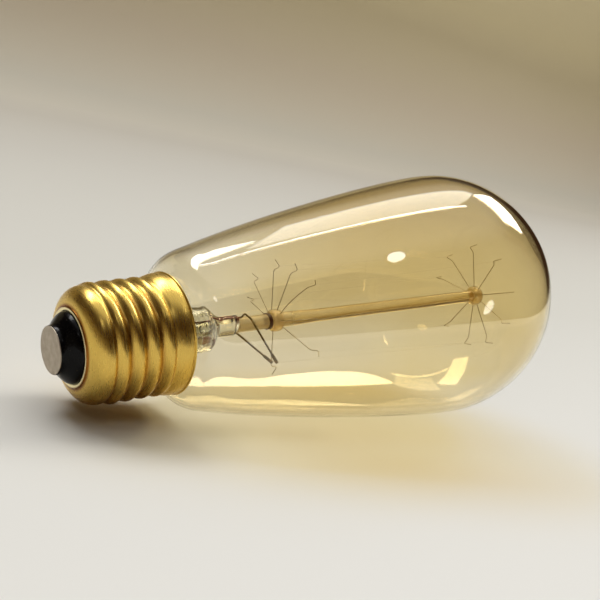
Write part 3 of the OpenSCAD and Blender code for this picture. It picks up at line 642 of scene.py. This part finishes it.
class LAMP_OT_screw_shell(bpy.types.Operator):
    """Rolls the screw shell from sheet brass"""
    bl_idname = "lamp.screw_shell"
    bl_label = "Screw Shell"

    def execute(self, context):
        s = sizes()
        opening, low, mean_r = s.opening_r, s.insulator_h, s.crest_r - s.thread_depth / 2
        start, end, skirt = low + s.shoulder_h, s.thread_end_s, s.skirt_r
        # The opening's lip is rolled into a bead
        bead_r = 0.34
        line = arc((opening + 0.33, low + 0.02), (bead_r, bead_r), 150, 345, 16)
        line += arc((opening, start), (mean_r - opening, s.shoulder_h), -78, 0, 13)
        # The middle of the thread's wall runs into the skirt over the last eighth of its height
        line += [(mean_r + (skirt - mean_r) * max(0, t * 8 - 7), start + (end - start) * t)
                 for t in shares(84)[1:]]
        line += [(skirt + (s.rim_r - skirt) * t + s.skirt_bulge * math.sin(math.pi * t),
                  end + s.skirt_l * t) for t in shares(12)[1:-2]]
        # The rim is drawn in and then turned out at its edge
        line += [moved((s.rim_r, s.rim_s), step, 1) for step in RIM_STEPS]
        piece = lathe("screw_thread", line, 160, 180)
        # The thread grows and dies over this height
        fade = s.thread_pitch * 0.3
        grown_from = low + s.shoulder_h * 1.04
        for vertex in piece.data.vertices:
            x, y, height = vertex.co
            share = min(1, (height - grown_from) / fade, (end - height) / fade)
            turn = (height - s.crest_s) / s.thread_pitch * math.tau - math.atan2(y, x)
            radius = math.hypot(x, y)
            grown = (radius + s.thread_depth / 2 * max(0, share) * math.cos(turn)) / radius
            vertex.co = (x * grown, y * grown, height)
        modify(piece, "SOLIDIFY", thickness=s.shell_wall, offset=-1)
        modify(piece, "BEVEL", width=0.08, segments=2, limit_method="ANGLE", angle_limit=math.radians(60))
        smooth(60)
        finish(piece, cap_brass(), "screw_shell")
        return {"FINISHED"}


class LAMP_OT_insulator(bpy.types.Operator):
    """Presses the black glass insulator into the shell's end"""
    bl_idname = "lamp.insulator"
    bl_label = "Insulator"

    def execute(self, context):
        s = sizes()
        opening, low, nose = s.opening_r, s.insulator_h, (s.nose_r, s.nose_h)
        plug_s, wire_r = low + 3.2, 0.3
        line = [(wire_r, plug_s), (wire_r, s.contact_t + 0.05)]
        line += arc((s.contact_r - 0.05, s.contact_t + 0.2), (0.15, 0.15), -90, 0, 5)
        # The nose is almost straight, and swells into the cone, which rounds off towards the opening
        middle, last, cone_run = moved(nose, (0.9, 0.85), 1), (opening - 0.1, low - 0.05), (0.8, 0.75)
        line += curve(line[-1], moved(nose, (-0.25, -0.1), 1), moved(middle, cone_run, -1), middle, 12)
        line += curve(middle, moved(middle, cone_run, 1), moved(last, (-0.03, -1.3), 1), last, 12)
        line += [(opening - 0.1, low + 0.35), (opening + 2, low + 1.6), (opening + 2.6, plug_s),
                 (wire_r, plug_s)]
        piece = lathe("insulator_glass", line, 96)
        finish(piece, black_glass(), "base_insulator")
        return {"FINISHED"}


class LAMP_OT_contact(bpy.types.Operator):
    """Stamps the centre contact with its rounded edge"""
    bl_idname = "lamp.contact"
    bl_label = "Centre Contact"

    def execute(self, context):
        s = sizes()
        r, high, edge, stub_r, stub_l = s.contact_r, s.contact_t, s.contact_t / 2, 1.3, 1.6
        line = [(0, 0), (r * 0.5, 0.0)] + arc((r - edge, edge), (edge, edge), -90, 0, 8)
        line += [(r, high), (stub_r, high), (stub_r, high + stub_l), (0, high + stub_l)]
        piece = lathe("contact_disc", line, 96, 35)
        finish(piece, tinned_brass(), "contact_plate")
        return {"FINISHED"}


class LAMP_OT_cement(bpy.types.Operator):
    """Fills the gap between the shell's rim and the neck with cement"""
    bl_idname = "lamp.cement"
    bl_label = "Capping Cement"

    def execute(self, context):
        s = sizes()
        low, high, neck, skirt = s.thread_end_s + 0.4, s.rim_s - 0.3, s.neck_r, s.skirt_r
        # The paste fills the skirt, is wiped hollow at the rim, and follows the neck as it widens
        line = [(skirt - 0.3, low), (skirt + 0.05, high), (skirt - 0.5, high + 0.05),
                (skirt - 1, high - 0.15), (neck + 0.4, high - 1.1), (neck + 0.15, high - 2),
                (neck + 0.1, low), (skirt - 0.3, low)]
        piece = lathe("cement_ring", line, 96)
        finish(piece, cement(), "capping_cement")
        return {"FINISHED"}


class LAMP_OT_stem(bpy.types.Operator):
    """Draws the stem's trumpet, tube and press, and the exhaust tube inside it"""
    bl_idname = "lamp.stem"
    bl_label = "Glass Stem"

    def execute(self, context):
        glass = stem_glass()
        finish(self.flare(), glass, "stem_flare", on_stem=True)
        finish(self.exhaust(), glass, "exhaust_tube", on_stem=True)
        return {"FINISHED"}

    def flare(self):
        """The trumpet, the tube, the round top and the press in one piece."""
        s = sizes()
        tube, wall, press_r, press_round = s.tube_r, 0.6, 2.3, 0.7
        bore = tube - wall
        # The trumpet opens to just inside the neck
        flare = s.neck_r - s.glass_wall - 0.3 - tube
        outside = [(tube + flare * (1 - math.sin(a)), s.neck_end_s + s.trumpet_h * (1 - math.cos(a)))
                   for a in [math.radians(90 * t) for t in shares(15)]]
        inside = [(r - wall, h - wall * 0.8 * (1 - t)) for (r, h), t in zip(outside, shares(15))]
        along = [s.tube_s + s.tube_l * t for t in shares(4)[1:-1]]
        outside += [(tube, h) for h in along]
        outside += [(press_r + (tube - press_r) * (1 + math.cos(math.pi * t)) / 2,
                     s.tube_end_s + s.cap_h * t) for t in shares(14)]
        outside += [(press_r, s.press_s + s.press_l * t) for t in (0.25, 0.5, 0.7)]
        outside += arc((press_r - press_round, s.press_top_s - press_round), (press_round, press_round),
                       0, 90, 5) + [(0, s.press_top_s)]
        cavity = [(bore, h) for h in along]
        cavity += arc((0, s.tube_end_s), (bore, s.ceiling_s - s.tube_end_s), 0, 90, 10)
        piece = lathe("stem_tube", (inside + cavity)[::-1] + outside, 96, 60)
        self.squeeze(piece, sorted({round(h, 4) for r, h in outside if h > s.ceiling_s + 0.05}))
        piece.data.transform(Matrix.Rotation(math.radians(PRESS_CLOCK), 4, "Z"))
        unevenness(piece, 4, 0.15)
        # The exhaust's blow hole goes through the round top
        self.blow_hole(piece, s.ceiling_s + s.cap_h * 0.21)
        smooth(60)
        return piece

    def squeeze(self, piece, rings):
        """Presses the stem's end flat across the wires, ring by ring."""
        s = sizes()
        # Share by which the press is wider one way and narrower the other
        flattened = 0.22
        for ring in rings:
            bpy.ops.object.mode_set(mode="EDIT")
            bpy.ops.mesh.select_all(action="DESELECT")
            bpy.ops.object.mode_set(mode="OBJECT")
            for vertex in piece.data.vertices:
                vertex.select = abs(vertex.co.z - ring) < 0.002
            bpy.ops.object.mode_set(mode="EDIT")
            t = min(1, (ring - s.ceiling_s) / (s.press_s - s.ceiling_s))
            t = t * t * (3 - 2 * t)
            bpy.ops.transform.resize(value=(1 + t * flattened, 1 - t * flattened, 1),
                                     center_override=(0, 0, ring))
        bpy.ops.object.mode_set(mode="OBJECT")

    def exhaust(self):
        """The tube for pumping the lamp out, with the tip that was pinched off in the flame."""
        s = sizes()
        tip, r, bore, end = s.insulator_h + 8.4, 1.8, 1.1, s.ceiling_s - 0.05
        line = [(0, tip)] + arc((r * 0.45, tip + r * 0.65), (r * 0.55, r * 0.65), -90, 0, 6)
        line += [(r, tip + r * 2), (r, end), (bore, end), (bore, tip + r * 2), (bore * 0.6, tip + r * 1.6),
                 (0, tip + r * 1.5)]
        return lathe("exhaust_glass", line, 48)

    def blow_hole(self, piece, height):
        """Cuts the hole from the axis out through the stem's side with a tapered bar."""
        clock, depth = PRESS_CLOCK + 42, 7
        deselect()
        bpy.ops.mesh.primitive_cone_add(vertices=24, radius1=0.65, radius2=0.85, depth=depth)
        cutter = bpy.context.object
        outwards = Matrix.Rotation(math.radians(clock), 4, "Z") @ Matrix.Rotation(math.radians(90), 4, "Y")
        cutter.data.transform(Matrix.Translation(at(clock, depth / 2 + 0.1, height)) @ outwards)
        deselect()
        piece.select_set(True)
        bpy.context.view_layer.objects.active = piece
        modify(piece, "BOOLEAN", operation="DIFFERENCE", solver="EXACT", object=cutter)
        bpy.data.objects.remove(cutter)


class LAMP_OT_rod(bpy.types.Operator):
    """Draws the support rod with its foot, its dark collar and its two buttons"""
    bl_idname = "lamp.rod"
    bl_label = "Support Rod"

    def execute(self, context):
        s = sizes()
        glass = rod_glass()
        finish(self.rod(), glass, "support_rod", on_stem=True)
        finish(self.collar(), dark_collar(), "rod_collar", on_stem=True)
        # The foot passes through the lower button, and the upper one closes over the rod's end
        for name, button, height, bore, top in (
                ("lower_button", LOWER_BUTTON, s.lower_button_s, s.foot_r + 0.05, None),
                ("upper_button", UPPER_BUTTON, s.upper_button_s, s.rod_r + 0.05, s.upper_hook_s + 0.05)):
            piece = self.button(name + "_glass", *button, height, bore, top)
            finish(piece, glass, name, on_stem=True)
        return {"FINISHED"}

    def rod(self):
        """The rod with its thick foot and its long taper."""
        s = sizes()
        taper_s = s.lower_button_end_s + FOOT_PAST
        thin_s, end = taper_s + TAPER_L, s.upper_hook_s
        foot, rod, bottom = s.foot_r, s.rod_r, s.press_top_s + 0.05
        foot_edge, rod_edge = 0.3, 0.5
        line = [(0, bottom)]
        line += arc((foot - foot_edge, bottom + foot_edge), (foot_edge, foot_edge), -90, 0, 4)
        line += [(foot, bottom + FOOT_L * t) for t in shares(4)[1:]] + [(foot, taper_s)]
        line += curve((foot, taper_s), (foot, taper_s + TAPER_L * 0.4), (rod, taper_s + TAPER_L * 0.6),
                      (rod, thin_s), 10)
        line += [(rod, thin_s + (end - rod_edge - thin_s) * t) for t in shares(16)[1:]]
        line += arc((rod - rod_edge, end - rod_edge), (rod_edge, rod_edge), 0, 90, 5)[1:] + [(0, end)]
        piece = lathe("rod_glass", line, 64)
        unevenness(piece, 9, 0.05)
        return piece

    def collar(self):
        """The band around the foot."""
        s = sizes()
        inner, outer, edge = s.foot_r + 0.05, s.foot_r + 0.2, 0.07
        low, high = s.collar_s, s.lower_button_s - 0.05
        line = arc((outer - edge, low + edge), (edge, edge), -90, 0, 3)
        line += arc((outer - edge, high - edge), (edge, edge), 0, 90, 3) + [(inner, high), (inner, low)]
        return lathe("collar_band", line + line[:1], 64)

    def button(self, name, r, length, height, bore, top):
        """A button whose bore goes through it, or ends at the height of its top."""
        edge = 1.3
        line = arc((r - edge, height + edge), (edge, edge), -60, 0, 8)
        line += arc((r - edge, height + length - edge), (edge, edge), 0, 90 if top else 60, 8)
        line += [(0, height + length), (0, top), (bore, top)] if top else [(bore, line[-1][1])]
        line.append((bore, line[0][1]))
        piece = lathe(name, line + line[:1], 64)
        unevenness(piece, 3, 0.12)
        return piece


def hook_line(clock, button_r, height, rise, bow, step, end):
    """Points of a hook: the bowed leg, the step to the corner that holds the filament, and the end."""
    root_r, leg_r = button_r - LEG_IN, sizes().leg_r
    leg = [(root_r + (leg_r - root_r) * t, height + rise * t - bow * 4 * t * (1 - t))
           for t in shares(4 if bow else 1)]
    corner = moved(leg[-1], step, 1)
    return [at(clock, r, h) for r, h in leg + [corner, moved(corner, end, 1)]]


def hook_lines():
    """The points of all the hooks by the name of their CAD node."""
    s = sizes()
    lines = {}
    lower = zip(LOWER_CLOCKS, LOWER_ROOTS, LOWER_RISES, LOWER_BOWS)
    for i, (clock, root, rise, bow) in enumerate(lower, 1):
        lines[f"lower_hook_{i}"] = hook_line(clock, LOWER_BUTTON[0], s.lower_hook_s + root, rise, bow,
                                             LOWER_STEP, LOWER_END)
    for i, clock in enumerate(UPPER_CLOCKS, 1):
        lines[f"upper_hook_{i}"] = hook_line(clock, UPPER_BUTTON[0], s.upper_hook_s, -UPPER_FALL, 0,
                                             UPPER_STEP, UPPER_END)
    return lines


class LAMP_OT_hooks(bpy.types.Operator):
    """Bends the nineteen hooks that carry the filament"""
    bl_idname = "lamp.hooks"
    bl_label = "Filament Hooks"

    def execute(self, context):
        molybdenum = hook_wire()
        for name, points in hook_lines().items():
            piece = wire(name + "_wire", rounded(points, 0.7), sizes().hook_d)
            finish(piece, molybdenum, name, on_stem=True)
        return {"FINISHED"}


def inner_lead_points(clock, bends, end):
    """Points of an inner lead from its seal wire round its bends to the filament's end."""
    top = sizes().press_top_s
    points = [at(clock, LEAD_SPREAD, top + 0.35), at(clock, LEAD_SPREAD, top + 0.8)]
    points += [at(clock + b[0], LEAD_SPREAD + b[1], top + b[2]) for b in bends]
    return points + [at(end[0], END_R, top + end[1])]


class LAMP_OT_leads(bpy.types.Operator):
    """Runs the lead wires through the cap, the stem's press and up to the filament"""
    bl_idname = "lamp.leads"
    bl_label = "Lead Wires"

    def execute(self, context):
        s = sizes()
        side = PRESS_CLOCK + 180
        nickel, copper, seal = nickel_wire(), copper_wire(), seal_copper()
        for i, (clock, bends, end) in enumerate(
                ((PRESS_CLOCK, FIRST_BENDS, FIRST_END), (side, SECOND_BENDS, SECOND_END)), 1):
            piece = self.inner_lead(f"inner_lead_{i}_wire", inner_lead_points(clock, bends, end))
            finish(piece, nickel, f"inner_lead_{i}", on_stem=True)
            ends = s.ceiling_s - 1, s.press_top_s + 0.3
            piece = wire(f"seal_wire_{i}_clad", [at(clock, LEAD_SPREAD, h) for h in ends], SEAL_WIRE_D)
            finish(piece, seal, f"seal_wire_{i}", on_stem=True)
        finish(self.centre_lead(), copper, "outer_lead_centre")
        finish(self.side_lead(side), copper, "outer_lead_side")
        return {"FINISHED"}

    def inner_lead(self, name, points):
        """A lead whose end is a clamp, thicker than the wire."""
        points = rounded(points, 0.5)
        tip = points[-1]
        run = (tip - points[-2]).normalized()
        thick = [1] * len(points) + [CLAMP_D / INNER_LEAD_D] * 2
        points = points[:-1] + [tip - run * (CLAMP_L + 0.15), tip - run * CLAMP_L, tip]
        return wire(name, points, INNER_LEAD_D, thick)

    def stem_end(self, clock, height):
        """Where an outer lead leaves the press, and where it reaches that height, leaning with the stem."""
        return [stem_lean() @ at(clock, LEAD_SPREAD, h) for h in (sizes().ceiling_s - 1.05, height)]

    def centre_lead(self):
        """The wire that runs down through the insulator's plug to the contact."""
        s = sizes()
        plug_s = s.insulator_h + 3.4
        points = self.stem_end(PRESS_CLOCK, plug_s + 11)
        points += [at(PRESS_CLOCK, LEAD_SPREAD * 0.8, plug_s + 5), at(0, 0, plug_s + 1.5),
                   at(0, 0, s.contact_t + 1.65)]
        return wire("outer_lead_centre_wire", rounded(points, 1.2), OUTER_LEAD_D)

    def side_lead(self, clock):
        """The wire that turns out under the neck, runs up beside it and leans out to the rim."""
        s = sizes()
        under, outside = s.neck_end_s - 2.5, s.neck_r + 0.4
        points = self.stem_end(clock, s.neck_end_s + 2)
        points += [at(clock, r, h) for r, h in (
            (s.neck_r * 0.6, under), (outside - 0.6, under), (outside, under + 0.6),
            (outside, s.rim_s - 2.8), (s.rim_r - 0.59, s.rim_s))]
        return wire("outer_lead_side_wire", rounded(points, 0.8), OUTER_LEAD_D)


class LAMP_OT_solder(bpy.types.Operator):
    """Melts the bead of solder that joins the side wire to the shell's rim"""
    bl_idname = "lamp.solder"
    bl_label = "Side Solder"

    def execute(self, context):
        s = sizes()
        deselect()
        bpy.ops.mesh.primitive_uv_sphere_add(segments=32, ring_count=20, radius=1.1)
        piece = bpy.context.object
        piece.name = piece.data.name = "solder_bead"
        bpy.ops.object.mode_set(mode="EDIT")
        # The bead lies flat on the shell and runs out along the rim
        bpy.ops.mesh.select_all(action="SELECT")
        bpy.ops.transform.resize(value=(0.75, 1.25, 0.95))
        bpy.ops.mesh.bisect(plane_co=(-0.28, 0, 0), plane_no=(1, 0, 0.13), use_fill=True, clear_inner=True)
        close()
        unevenness(piece, 0.8, 0.15)
        smooth(50)
        piece.data.transform(Matrix.Rotation(math.radians(PRESS_CLOCK + 180), 4, "Z")
                             @ Matrix.Translation((s.rim_r + 0.3, 0, s.rim_s - 0.7)))
        finish(piece, solder(), "side_solder")
        return {"FINISHED"}


def notch(line, side):
    """Where the filament lies in a hook's corner, to one side of the hook's wire."""
    s = sizes()
    reach = (s.hook_d + s.filament_d) / 2 + 0.03
    leg, corner, tip = line[-3:]
    back, on = (leg - corner).normalized(), (tip - corner).normalized()
    half = (back + on).normalized()
    across = on.cross(back).normalized()
    around = Vector((0, 0, 1)).cross(tip - line[0])
    return (corner + half * (reach + 0.12) / math.sqrt(1 - (half @ on) ** 2)
            + across * math.copysign(side, across @ around) * reach)


class LAMP_OT_filament(bpy.types.Operator):
    """Strings the filament from the second lead over all the hooks to the first lead"""
    bl_idname = "lamp.filament"
    bl_label = "Filament"

    def execute(self, context):
        s = sizes()
        lines = hook_lines()
        top = s.press_top_s
        start, end = [at(clock, END_R + 0.1, top + height + 0.05)
                      for clock, height in (SECOND_END, FIRST_END)]
        points = [start]
        for i in range(1, len(UPPER_CLOCKS) + 1):
            for name in (f"upper_hook_{i}", f"lower_hook_{i}"):
                if name in lines:
                    points += [notch(lines[name], -1), notch(lines[name], 1)]
        piece = wire("filament_wire", rounded(points + [end], 0.15, 3), s.filament_d)
        finish(piece, tungsten(), "filament", on_stem=True)
        return {"FINISHED"}


# Studio

# The camera's place in metres and its axes, as the photograph was taken
EYE = (-0.165023, -0.185329, 0.078845)
EYE_RIGHT = Vector((0.7677, -0.5897, 0.2508))
EYE_FORWARD = Vector((0.6372, 0.744, -0.2011))
LENS, SENSOR = 61.04, 36
# Where the floor starts to bend up, the radius of the bend and the height of the backdrop, in metres
SWEEP_Y, SWEEP_BEND, SWEEP_H = 0.75, 0.2, 0.355
# Left and right edge of the sweep's paper in metres, with more floor around it
SWEEP_LEFT, SWEEP_RIGHT = -0.6, 1.4
# Brightness with which the paper in front of the lamp glows, a painted light standing in for sun on it, where
# 1 is white
PAINTED_SUN_GLOW = 0.45


def toward(azimuth, elevation, distance=1.0):
    """A place seen from the lamp at that azimuth from +X and that elevation, in degrees."""
    a, e = math.radians(azimuth), math.radians(elevation)
    return Vector((math.cos(e) * math.cos(a), math.cos(e) * math.sin(a), math.sin(e))) * distance


class LAMP_OT_stage(bpy.types.Operator):
    """Sets the paper sweep, the lights and the camera"""
    bl_idname = "lamp.stage"
    bl_label = "Studio Stage"

    def execute(self, context):
        self.sweep()
        # Three softboxes in a row behind the lamp, a strip above them, and windows on the camera's side
        self.panel("softbox_left", (107.5, 53), 2.0, (1.34, 0.46), 9)
        self.panel("softbox_middle", (51.5, 56), 2.0, (0.86, 0.74), 2.6)
        self.panel("softbox_right", (17, 39.5), 2.0, (0.8, 0.58), 9.5)
        self.panel("strip", (70, 69), 2.0, (1.6, 0.04), 17)
        for i, (place, pane, radiance, roll) in enumerate((
                ((-60.5, 61.5), (0.036, 0.16), 9, -27), ((-57.5, 10), (0.03, 0.175), 6, 0),
                ((-138, 47), (0.18, 0.12), 3.6, 0)), 1):
            self.panel(f"window_{i}", place, 1.0, pane, radiance, roll, "ELLIPSE")
        self.room()
        self.camera()
        context.scene.view_settings.view_transform = "Standard"
        return {"FINISHED"}

    def room(self):
        """The room's light: bright above and behind, dark on the camera's side, less so low on the left."""
        world = bpy.data.worlds.new("room")
        bpy.context.scene.world = world
        world.use_nodes = True
        world.node_tree.nodes.clear()
        direction = add(world, "ShaderNodeTexCoord").outputs["Generated"]
        behind, left = [add(world, "ShaderNodeVectorMath", {"operation": "DOT_PRODUCT"}, Vector=direction,
                            Vector_001=toward(*place)).outputs["Value"] for place in ((68, 74), (-158, 0))]
        tone = add(world, "ShaderNodeValToRGB",
                   stops=((0.5, linear("#3A2618")), (0.72, linear("#7A7166")), (0.86, linear("#EDECEA"))),
                   Fac=behind)
        height = add(world, "ShaderNodeSeparateXYZ", Vector=direction).outputs["Z"]
        low = add(world, "ShaderNodeMapRange", Value=height, From_Min=0.34, From_Max=0.26)
        near = add(world, "ShaderNodeMapRange", Value=left, From_Min=0.3, From_Max=0.7)
        share = add(world, "ShaderNodeMath", {"operation": "MULTIPLY"}, Value=low, Value_001=near)
        mixed = add(world, "ShaderNodeMix", {"data_type": "RGBA"}, Factor_Float=share, A_Color=tone,
                    B_Color=linear("#7A6A54")).outputs[2]
        light = add(world, "ShaderNodeBackground", Color=mixed, Strength=0.9)
        add(world, "ShaderNodeOutputWorld", Surface=light)

    def sweep(self):
        """The floor that bends up into the backdrop behind the lamp, parallel to the lamp."""
        around = self.paper("paper_floor", 6, 4, (0, SWEEP_Y - 1.5, -MM))
        floor = self.paper("paper_sweep", SWEEP_RIGHT - SWEEP_LEFT, 3,
                           ((SWEEP_LEFT + SWEEP_RIGHT) / 2, SWEEP_Y - 1.5, 0))
        for vertex in floor.data.vertices:
            vertex.select = vertex.co.y > 0
        bpy.ops.object.mode_set(mode="EDIT")
        bend = arc((0, SWEEP_BEND), (SWEEP_BEND, SWEEP_BEND), -90, 0, 24) + [(SWEEP_BEND, SWEEP_H)]
        for before, after in zip(bend, bend[1:]):
            bpy.ops.mesh.extrude_region_move(
                TRANSFORM_OT_translate={"value": (0, after[0] - before[0], after[1] - before[1])})
        bpy.ops.mesh.select_all(action="SELECT")
        bpy.ops.mesh.normals_make_consistent(inside=True)
        bpy.ops.object.mode_set(mode="OBJECT")
        bpy.ops.object.shade_smooth()
        m = new_material("seamless_paper")
        place = add(m, "ShaderNodeTexCoord").outputs["Object"]
        # Distance back over the floor and then up the backdrop, in metres
        split = add(m, "ShaderNodeSeparateXYZ", Vector=place)
        back = add(m, "ShaderNodeMath", {"operation": "ADD"}, Value=split.outputs["Y"],
                   Value_001=split.outputs["Z"])
        share = add(m, "ShaderNodeMapRange", Value=back, From_Min=-0.15, From_Max=1.2)
        # The paper is painted darker back over the floor and up the backdrop: painted shade for the light
        # falling off there
        tone = add(m, "ShaderNodeValToRGB",
                   stops=((0, picked("floor_near")), (0.2, linear("#C9C7BE")), (0.42, linear("#B1ADA3")),
                          (0.57, linear("#A49E92")), (0.74, linear("#A8A293")), (0.87, linear("#BDB097")),
                          (1, picked("floor_far"))), Fac=share)
        fibres = add(m, "ShaderNodeTexNoise", Vector=place, Scale=1 / (1.5 * MM), Detail=3.0)
        # The paper glows from a quarter of a metre in front of the lamp, a painted light standing in for a
        # sunlit patch, which the glass mirrors
        painted_sun_glow = add(m, "ShaderNodeMapRange", Value=split.outputs["Y"], From_Min=-0.2, From_Max=-0.35,
                     To_Max=PAINTED_SUN_GLOW)
        out(m, skin(m, fibres, 0.05, 0.2, Base_Color=tone, Roughness=0.9, Emission_Color=linear("#FFFDF8"),
                    Emission_Strength=painted_sun_glow))
        for paper in (floor, around):
            paper.data.materials.append(m)

    def paper(self, name, width, depth, centre):
        """A flat sheet of paper, with its place in its mesh."""
        deselect()
        bpy.ops.mesh.primitive_plane_add(size=1, location=centre)
        sheet = bpy.context.object
        sheet.name = sheet.data.name = name
        bpy.ops.object.mode_set(mode="EDIT")
        bpy.ops.transform.resize(value=(width, depth, 1))
        bpy.ops.mesh.select_all(action="DESELECT")
        bpy.ops.object.mode_set(mode="OBJECT")
        bpy.ops.object.transform_apply(location=True, rotation=True, scale=True)
        return sheet

    def panel(self, name, direction, distance, dimensions, radiance, roll=0, shape="RECTANGLE"):
        """An area lamp that faces the lamp, with its brightness given as seen, where 1 is white."""
        lamp = bpy.data.lights.new(name, "AREA")
        lamp.shape = shape
        lamp.size, lamp.size_y = dimensions
        fill = math.pi / 4 if shape == "ELLIPSE" else 1
        lamp.energy = radiance * math.pi * dimensions[0] * dimensions[1] * fill
        holder = bpy.data.objects.new(name, lamp)
        centre = Vector((0, 0, 0.03))
        holder.location = centre + toward(*direction, distance)
        facing = toward(*direction).to_track_quat("Z", "Y").to_matrix()
        holder.rotation_euler = (facing @ Matrix.Rotation(math.radians(roll), 3, "Z")).to_euler()
        bpy.context.scene.collection.objects.link(holder)

    def camera(self):
        """The camera at the photograph's place."""
        data = bpy.data.cameras.new("photo_camera")
        data.lens, data.sensor_width, data.sensor_fit = LENS, SENSOR, "HORIZONTAL"
        data.clip_start, data.clip_end = 0.01, 50
        camera = bpy.data.objects.new("photo_camera", data)
        forward = EYE_FORWARD.normalized()
        right = (EYE_RIGHT - forward * (EYE_RIGHT @ forward)).normalized()
        axes = Matrix((right, right.cross(forward), -forward)).transposed()
        camera.matrix_world = Matrix.Translation(EYE) @ axes.to_4x4()
        bpy.context.scene.collection.objects.link(camera)
        bpy.context.scene.camera = camera


class LAMP_PT_pieces(bpy.types.Panel):
    """Lists the pieces' sizes and colours and the operators that make them"""
    bl_label = "Filament Lamp"
    bl_idname = "LAMP_PT_pieces"
    bl_space_type = "VIEW_3D"
    bl_region_type = "UI"
    bl_category = "Lamp"

    def draw(self, context):
        for group in (context.scene.lamp_sizes, context.scene.lamp_colours):
            box = self.layout.box()
            for name in type(group).__annotations__:
                box.prop(group, name)
        for operator in OPERATORS:
            self.layout.operator(operator.bl_idname)


OPERATORS = (LAMP_OT_envelope, LAMP_OT_screw_shell, LAMP_OT_insulator, LAMP_OT_contact, LAMP_OT_cement,
             LAMP_OT_stem, LAMP_OT_rod, LAMP_OT_hooks, LAMP_OT_leads, LAMP_OT_solder, LAMP_OT_filament,
             LAMP_OT_stage)
CLASSES = (LampSizes, LampColours) + OPERATORS + (LAMP_PT_pieces,)


def register():
    for item in CLASSES:
        bpy.utils.register_class(item)
    bpy.types.Scene.lamp_sizes = bpy.props.PointerProperty(type=LampSizes)
    bpy.types.Scene.lamp_colours = bpy.props.PointerProperty(type=LampColours)


def unregister():
    del bpy.types.Scene.lamp_colours
    del bpy.types.Scene.lamp_sizes
    for item in reversed(CLASSES):
        bpy.utils.unregister_class(item)


def main():
    register()
    for operator in OPERATORS:
        group, name = operator.bl_idname.split(".")
        getattr(getattr(bpy.ops, group), name)()


if __name__ == "__main__":
    main()
